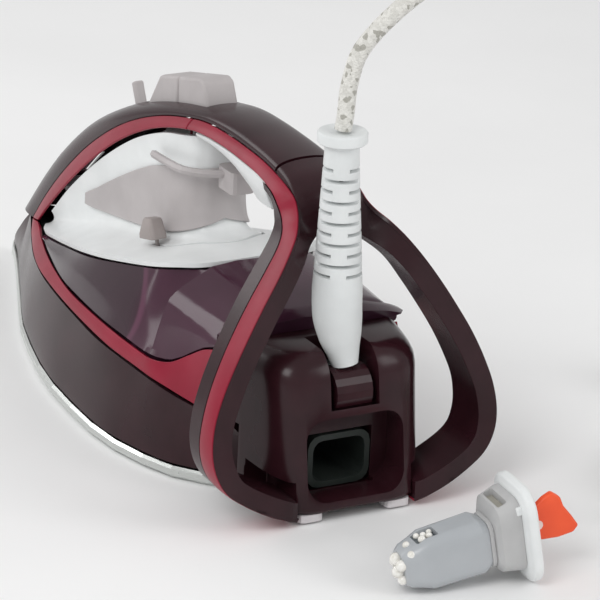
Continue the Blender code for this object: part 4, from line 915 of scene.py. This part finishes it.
def slanted_block(name, low, high, look, radius=0.5, **more):
    """A block in the frame of the handle's ridge at the lever: x along the ridge, z away from it."""
    turn = Matrix.Rotation(math.radians(LEVER_SLOPE), 4, "Y")
    plan = rounded_rectangle(high[0] - low[0], high[1] - low[1], radius, 5)
    cx = (low[0] + high[0]) / 2
    rings = [[turn @ Vector((cx + u, v, z)) + Vector(LEVER_PLACE) for u, v in plan] for z in (low[2],
        high[2])]
    return loft(name, rings, look, **more)


def prism_y(name, profile, half_width, look, **more):
    return loft(name, [[Vector((x, y, z)) for x, z in profile] for y in (-half_width, half_width)], look,
        **more)


def body_parts():
    soften(piece_skirt(), 0.7, 3, 50)
    for side in ("left", "right"):
        grid = band_grid(90, 9)
        grid = grid if side == "left" else mirrored(grid)
        sign = 1 if side == "left" else -1
        shell(f"band_{side}", grid, 1.6, "red", (0, sign, 0), edge=0.5, stands_for=(f"flank_band_{side}",))
    tank()
    deck()


def piece_skirt():
    return shell("skirt_shell", skirt_grid(16, 70), WALL, "burgundy", (0, 1, 0), stands_for=("skirt",))


def fine_tank_ring(x, lift):
    """tank_ring with its shown side rounded."""
    ring = tank_ring(x, lift)
    half = ring[:len(ring) // 2 + 1]
    if x > TANK_STEP:
        side, rest = even_path(half[3:6], 20), [half[6], half[7]]
    else:
        side, rest = even_path(half[3:7], 20), [half[6].lerp(half[7], 0.5) + Vector((0, 0, 0.6)), half[7]]
    half = half[:3] + side + rest
    return half + [Vector((p.x, -p.y, p.z)) for p in reversed(half[:-1])]


def tank():
    stations = [-111, -108, -105, -103.8, -103.4, -99, -95, -91, -86, -82, -77, -73, -68, -64.2, -63.7]
    stations += list(steps(-60, 96, 44))
    rings = [fine_tank_ring(x, 61.0 if x < -103.5 else None) for x in stations]
    rings[0] = [Vector((-111.5, p.y * 0.93, 65 + (p.z - 65) * 0.7)) for p in rings[0]]
    soften(loft("tank_shell", rings, "tank", stands_for=("water_tank",)), 0.8, 3, 40)


def dial_world(radius, angle, height):
    frame_matrix = Matrix.Translation(Vector(DIAL_CENTRE)) @ Matrix.Rotation(math.radians(DIAL_TILT), 4, "Y")
    a = math.radians(angle)
    return frame_matrix @ Vector((radius * math.cos(a), radius * math.sin(a), height))


def deck():
    whole = deck_grid(110, 44, 0.0, whole_low, whole_high)
    cover = shell("deck_shell", whole, 1.8, "white", (0, 0.5, 1), stands_for=("deck_cover",))
    section = ((DIAL_RADIUS - 0.7, -6), (DIAL_RADIUS + 0.7, -6), (DIAL_RADIUS + 0.7, 9),
        (DIAL_RADIUS - 0.7, 9))
    slot = loft("slot_tool", [[dial_world(r, a, h) for r, h in section] for a in steps(80.5, 259.7, 60)],
        "white")
    cut(cover, slot)
    soften(cover, 0.35, 2, 50)
    rings = []
    for height, across, along_slot, shift, radius in (
        (-4.5, 0.8, 2.6, 0.0, 0.3), (1.2, 0.8, 2.6, 0.0, 0.3), (1.25, 7.6, 11.5, 1.7, 1.6),
            (3.0, 7.6, 11.5, 1.7, 1.6),
        (8.4, 6.2, 7.2, 1.2, 1.4), (9.4, 5.2, 6.0, 1.2, 1.2),
    ):
        plan = rounded_rectangle(across, along_slot, radius, 5)
        rings.append([
            dial_world(DIAL_RADIUS + shift + u, KNOB_REST + 57.3 * v / DIAL_RADIUS, height) for u, v in plan
        ])
    knob = loft("dial_knob", rings, "knob", body="selector", stands_for=("selector_knob",))
    soften(knob, 0.7, 4, 30)
    column = lifted(deck_grid(90, 22, 1.9, liner_low, liner_high), (0, 1, 0), 1.5)
    shell("column_pad", column, 1.0, "grey", (0, 1, 0), edge=0.45, stands_for=("column_liner",))


def fine_trim_grid(first, last, rows, across=9, crown=0.35):
    grid = []
    for t in steps(first, last, rows):
        upper, lower, normal = trim_pair(t)
        step = (lower - upper).normalized() * GAP
        row = []
        for share in steps(0, 1, across):
            row.append((upper + step).lerp(lower - step, share) + normal * crown * (4 * share * (1 - share)))
        grid.append(row)
    return grid


def trims():
    last = len(TRIM_ROUTE) - 1
    for name, first, end, rows in (("front", 0, TRIM_JOINT - 0.02, 80),
        ("rear", TRIM_JOINT + 0.02, last, 190)):
        grid = fine_trim_grid(first, end, rows)
        for side in ("left", "right"):
            shell(
                f"stripe_{name}_{side}", grid if side == "left" else mirrored(grid), TRIM, "red",
                (0, 1 if side == "left" else -1, 0), edge=0.35, stands_for=(f"trim_{name}_{side}",),
            )


def handle():
    crown = crown_grid(0, SHELL_END - 0.12, 110, 37)
    top = shell("handle_crown", crown, WALL, "burgundy", (0, 1, 0), stands_for=("handle_shell",))
    cut(top, crown_patch("flap_opening", 0.93, 1.72, 2, 8, math.radians(50), "dark"))
    nozzle_root, nozzle_axis = Vector((115.4, 0.0, 41.1)), Vector((0.72, 0, 0.69)).normalized()
    cut(top, turned("nozzle_hole", [(0, 3.7), (18, 3.7)], nozzle_root, nozzle_axis, "dark", 32))
    cut(top, slanted_block("lever_slot", (-14.5, -2.5, -8), (4.4, 2.5, 8), "dark", 2.0))
    opening = [(25, 102), (25, 120), (4, 140), (-28.5, 140), (-28.5, 110)]
    cut(top, prism_y("button_opening", opening, 7.4, "dark"))
    soften(top, 0.5, 3, 50)
    turned(
        "spray_tip", [(0, 3.3), (10.5, 3.3), (12.2, 2.9), (12.8, 2.2), (12.8, 1.1), (11.4, 0.9),
            (11.4, 0.01)],
        nozzle_root, nozzle_axis, "black", 40, stands_for=("spray_nozzle",),
    )
    flap = crown_patch(
        "filler_flap", 0.97, 1.68, 0.5, 2.0, math.radians(53.5), "pink", body="inlet_flap",
            stands_for=("inlet_flap",)
    )
    soften(flap, 0.6, 3, 40)
    lever = slanted_block(
        "lever_peg", (-2.0, -2.1, -6), (2.0, 2.1, 9.2), "grey", 1.2, body="steam_lever",
            stands_for=("steam_lever",)
    )
    soften(lever, 0.8, 4, 40)
    buttons = {
        "spray_button": [
            (24.2, 108.6), (24.2, 112), (14.4, 126.2), (11.5, 127.4), (-1.7, 130.6), (-1.7, 116.5),
        ],
        "steam_boost_button": [
            (-2.3, 116.7), (-2.3, 130.8), (-20.5, 135.2), (-24, 134), (-27.8, 126.5), (-27.8, 121.5),
        ],
    }
    for node, profile in buttons.items():
        key = prism_y(f"{node}_key", profile, 6.8, "grey", body=node, stands_for=(node,))
        soften(key, 1.3, 4, 30)


def frame_ring(t):
    """Left half section of the heel frame t stations behind its start."""
    front, inner, rear = (between([e[k] for e in FRAME_EDGES], t) for k in range(3))
    if t <= APEX:
        inner.y = rear.y = 0.0
    upper, lower, normal = trim_pair(SHELL_END + t)
    arched = 1.0 - smoothstep((t - APEX) / 2.5)
    shown = []
    for share in steps(1.0, 0.0, 9):
        a = share * math.pi / 2
        rise = math.sin(a) ** 0.8
        arch = Vector((
            upper.x + (rear.x - upper.x) * rise, rear.y + (upper.y - rear.y) * math.cos(a),
            upper.z + (rear.z - upper.z) * rise,
        ))
        shown.append(upper.lerp(rear, share).lerp(arch, arched))
    seat = normal * TRIM_SEAT
    return shown + [upper - seat, lower - seat, lower, front, front.lerp(inner, 0.5), inner]


def heel():
    last = len(FRAME_EDGES) - 1
    stations = list(steps(0, APEX, 13)) + list(steps(APEX + 0.12, last, 84))
    rings = [frame_ring(t) for t in stations]
    count, apex = len(rings[0]), 12
    points = [p for ring in rings for p in ring]
    faces = []
    for i in range(len(rings) - 1):
        for j in range(count):
            if i <= apex and j == count - 1:
                continue
            k = (j + 1) % count
            faces.append((i * count + j, i * count + k, (i + 1) * count + k, (i + 1) * count + j))
    size = len(points)
    left_end = tuple(range(size - count, size))
    points += [Vector((p.x, -p.y, p.z)) for p in points]
    faces += [tuple(size + v for v in reversed(face)) for face in faces]
    faces.append(left_end)
    faces.append(tuple(size + v for v in reversed(left_end)))
    start = list(range(count))
    faces.append(tuple(start) + tuple(size + v for v in reversed(start)))
    here, after, inner = apex * count, (apex + 1) * count, count - 1
    faces.append((here + inner, after + inner, size + after + inner, size + here + inner))
    faces.append((here, after, size + after, size + here))
    faces.append((after + inner, after, size + after, size + after + inner))
    soften(piece("heel_arch", points, faces, "burgundy", stands_for=("heel_frame",)), 1.0, 3, 40)


def housing():
    """The heel's housing with its recess, its boot slot and the rooms for what stands in it."""
    plan = [(-148.6, 15, 0), (-147.6, 21, 0), (-144.6, 26.4, 0), (-138, 30.6, 0), (-128, 33.2, 0),
        (-105, 37.5, 0)]
    rear_plan = [(p.x, p.y) for p in even_path(plan, 30)]
    levels = [(4.0, 1.0), (4.8, 0.35), (6.0, 0.0), (20.0, 0.0), (31.0, 0.0), (45.0, 0.0), (53.0, 0.0)]
    levels += [(56.5, 0.5), (59.0, 1.6), (61.2, 3.2), (62.7, 4.9), (63.5, 7.0)]
    rings = []
    for z, trim in levels:
        left = []
        for x, y in rear_plan:
            reach = (-x - 105) / 43
            left.append((x + (0.14 * z + trim) * reach, y - trim))
        rings.append([Vector((x, y, z)) for x, y in left] + [Vector((x, -y, z)) for x, y in reversed(left)])
    made = loft("heel_cover", rings, "burgundy", stands_for=("heel_housing",))

    def room(low, high, radius):
        plan = rounded_rectangle(high[0] - low[0], high[1] - low[1], radius, 5)
        cx, cy = (high[0] + low[0]) / 2, (high[1] + low[1]) / 2
        cut(made, loft("room", [[Vector((cx + u, cy + v, z)) for u, v in plan] for z in (low[2], high[2])],
            "burgundy"))

    for sign in (1, -1):
        near, far = sorted((sign * 24.5, sign * 60))
        room((-170, near, -5), (-121, far, 16.5), 0.5)
        profile = [(24.5, -5), (24.5, 15.8), (32, 18), (44, 26), (60, 40), (60, -5)]
        cut(made, loft("slant", [[Vector((x, sign * y, z)) for y, z in profile] for x in (-170, -121.5)],
            "burgundy"))
    room((-117, -60, -5), (-90, 60, 31.6), 0.5)
    room((-112.2, -61, 59.3), (-89, 61, 81), 0.6)
    room((-170, -12, -5), (-134, 12, 4.6), 0.5)
    recess = rounded_rectangle(41, 31.5, 8.0, 10)
    cut(made, loft("recess", [[Vector((x, u, 23.75 + v)) for u, v in recess] for x in (-170, -131)],
        "burgundy"))
    room((-135, -14, 6.3), (-90, 14, 29), 1.0)
    room((-125, -24, 33), (-90, 24, 57.5), 1.0)
    slot = rounded_rectangle(20.4, 60, 3.0, 6)
    cut(made, loft("boot_room", [[Vector((x, u, 80 + v)) for u, v in slot] for x in (-170, -119)],
        "burgundy"))
    cut(made, turned("swivel_room", [(-10.2, 10.6), (10.2, 10.6)], SWIVEL, (0, 1, 0), "burgundy", 48))
    soften(made, 1.1, 4, 35)


def grip():
    grid = []
    for row in cheek_grid(40):
        grid.append([between(row, t) for t in steps(0, 2, 9)])
    for side in ("left", "right"):
        sign = 1 if side == "left" else -1
        shell(
            f"grip_side_{side}", grid if side == "left" else mirrored(grid), 1.8, "white", (0, sign, -0.5),
                edge=0.5,
            stands_for=(f"grip_cheek_{side}",),
        )
    under = [[Vector((row[-1].x, y, row[-1].z - 0.3)) for y in steps(-8.6, 8.6, 13)] for row in grid]
    for row in under:
        for p in row:
            p.z -= 1.2 * (1 - (p.y / 8.6) ** 2)
    shell("grip_pad", under, 1.4, "grey", (0, 0, -1), edge=0.4, stands_for=("grip_liner",))


def boot():
    """The cord's strain relief: a slit sleeve under a flange, over a swelling root."""
    path = even_path([centre for centre, _ in BOOT[:-2]], 90)
    heights = [(centre[2], radius) for centre, radius in BOOT[:10]]
    radii = [along(heights, p.z) for p in path]
    sleeve = loft("boot_sleeve", swept(path, radii, 40), "boot", body="boot", stands_for=("cord_boot",))
    top = Vector(BOOT[-1][0])
    work_points, work_faces = [], []
    levels = [(z, 0) for z in (133.2, 125.1, 117.0, 108.9, 100.8, 92.9)]
    levels += [(z, 1) for z in (129.2, 121.0, 113.0, 104.9, 96.9)]
    for z, turned_by in levels:
        centre = min(path, key=lambda p: abs(p.z - z))
        for sign in (1, -1):
            near, far, wide = 3.0, 14.0, 14.0
            first = len(work_points)
            for dz in (-0.75, 0.75):
                for u, v in ((near, -wide), (far, -wide), (far, wide), (near, wide)):
                    a = math.radians(62 + 90 * turned_by)
                    c, s = math.cos(a), math.sin(a)
                    x, y = sign * u, v
                    work_points.append(Vector((centre.x + x * c - y * s, centre.y + x * s + y * c, z + dz)))
            quad = [(0, 3, 2, 1), (4, 5, 6, 7), (0, 1, 5, 4), (1, 2, 6, 5), (2, 3, 7, 6), (3, 0, 4, 7)]
            work_faces += [tuple(first + v for v in q) for q in quad]
    tool = piece("slit_tool", work_points, work_faces, "boot")
    cut(sleeve, tool)
    soften(sleeve, 0.25, 2, 45)
    turned(
        "boot_flange", [(-5.2, 6.4), (-4.6, 8.6), (-4.0, 9.3), (-0.8, 9.4), (-0.1, 8.9), (0.1, 7.6),
            (-0.9, 4.2), (-0.9, 3.2)],
        top, (0, 0.01, 1), "boot", 56, body="boot",
    )
    core = even_path([(centre[0], centre[1], centre[2]) for centre, _ in BOOT[2:-1]], 30)
    loft("boot_core", swept(core, [3.1] * 30, 24), "dark", body="boot")


def fine_collector(name, sections, look, corner, stands_for=()):
    matrix = collector_frame()
    rings = []
    for length, high, wide, rise in sections:
        plan = rounded_rectangle(2 * wide, 2 * high, min(corner, wide * 0.6, high * 0.6), 8)
        rings.append([matrix @ Vector((length, u, v + rise)) for u, v in plan])
    return loft(name, rings, look, body="collector", stands_for=stands_for)


def on_rod(length, across, height):
    return collector_frame() @ Vector((length, across, height))


def rod_box(name, low, high, look, radius=0.8):
    """A box in the collector's own frame: length, width and height."""
    plan = rounded_rectangle(high[0] - low[0], high[1] - low[1], radius, 5)
    cx, cy = (high[0] + low[0]) / 2, (high[1] + low[1]) / 2
    return loft(name, [[on_rod(cx + u, cy + v, z) for u, v in plan] for z in (low[2], high[2])], look,
        body="collector")


def collector():
    body = fine_collector("rod_body", [
        (0, 6, 5, 0), (2, 7.4, 6.4, 0), (6, 8.6, 7.2, 0), (10, 10.2, 7.8, 0), (30, 10.6, 8.0, 0),
            (33, 9.0, 7.0, 0),
    ], "body", 4.5, ("collector_body",))
    cut(body, rod_box("window_tool", (6.5, -3.6, 7.0), (15.0, 3.4, 14.0), "smoke"))
    soften(body, 0.7, 3, 25)
    rod_box("rod_window", (6.7, -3.5, 6.2), (14.8, 3.3, 8.4), "smoke", 0.6)
    beads = [(9.0, -2.0, 9.2, 1.5), (12.2, -1.2, 9.3, 1.3), (10.6, 0.6, 9.3, 1.2), (13.3, 1.6, 9.2, 1.1),
        (8.4, 1.8, 9.0, 1.2)]
    beads += [(-0.6, -3.4, 2.4, 2.2), (-0.9, 0.4, 3.6, 2.4), (-0.4, 3.2, 1.2, 2.0), (-1.2, -1.2, -0.6, 2.4)]
    beads += [(-0.5, 2.0, -3.0, 2.0), (-0.6, -2.8, -3.6, 1.9), (3.2, -4.6, 6.0, 1.6), (3.6, 0.2, 7.8, 1.4)]
    for k, (length, across, height, radius) in enumerate(beads):
        profile = [(radius * -math.cos(math.pi * i / 10), max(0.02,
            radius * math.sin(math.pi * i / 10))) for i in range(11)]
        turned(f"resin_bead_{k:02d}", profile, on_rod(length, across, height), (0.3, 0.2, 1), "bead", 20,
            body="collector")
    soften(fine_collector("rod_seal", [(33.1, 9.4, 7.2, 0), (34.9, 9.4, 7.2, 0)], "collar", 4.0,
        ("collector_seal",)), 0.4)
    collar = fine_collector("rod_collar", [
        (34.9, 10.5, 8.2, 0.5), (36.5, 13.2, 9.8, 1.5), (43, 14.6, 10.6, 1.8), (44.6, 14.6, 10.6, 1.8),
    ], "collar", 5.0, ("collector_collar",))
    cut(collar, rod_box("slot_tool", (37.4, -6.8, 11.5), (41.2, 6.2, 24.0), "beige"))
    soften(collar, 0.8, 3, 25)
    rod_box("rod_slot", (37.6, -6.6, 11.0), (41.0, 6.0, 13.2), "beige", 0.5)
    soften(fine_collector("rod_cap", [
        (44.7, 16.2, 11.5, 0.8), (46, 19.0, 14.8, 0.8), (48.6, 19.2, 15.0, 0.8), (49.8, 18.2, 13.8, 0.8),
    ], "white", 9.0, ("collector_cap",)), 0.9, 4, 20)
    for k, (across, height) in enumerate(((-9.0, 12.5), (9.0, -10.5))):
        soften(rod_box(f"cap_catch_{k}", (42.8, across - 2.0, height - 1.6),
            (45.8, across + 2.0, height + 1.6), "white"), 0.5)
    # The pull tag flares from the cap like a fan with a notched end
    fan = [(49.6, 3.0), (53.0, 5.4), (58.0, 8.6), (61.5, 9.8), (64.5, 7.0), (65.4, 3.0), (68.2, -2.0),
        (70.4, -6.6)]
    fan += [(68.0, -8.6), (62.0, -8.8), (55.0, -7.6), (51.5, -4.6), (49.6, -3.4)]
    fan_rings = [[on_rod(length, across, height + 0.6) for length, height in fan] for across in (-1.5, 1.5)]
    soften(loft("rod_tag", fan_rings, "orange", body="collector", stands_for=("collector_tag",)), 0.8, 4, 20)
    turned("tag_emblem", [(0.0, 1.9), (0.25, 1.8)], on_rod(54.4, -1.6, -0.6),
        on_rod(0, -1, 0) - on_rod(0, 0, 0), "emblem", 32, body="collector")


camera_and_light()
cord_ends()
cord()
body_parts()
trims()
handle()
heel()
housing()
grip()
boot()
collector()
for node in ("soleplate", "collector_socket", "heel_pad_left", "heel_pad_right", "trigger"):
    soften(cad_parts[node], 0.5, 3, 40)
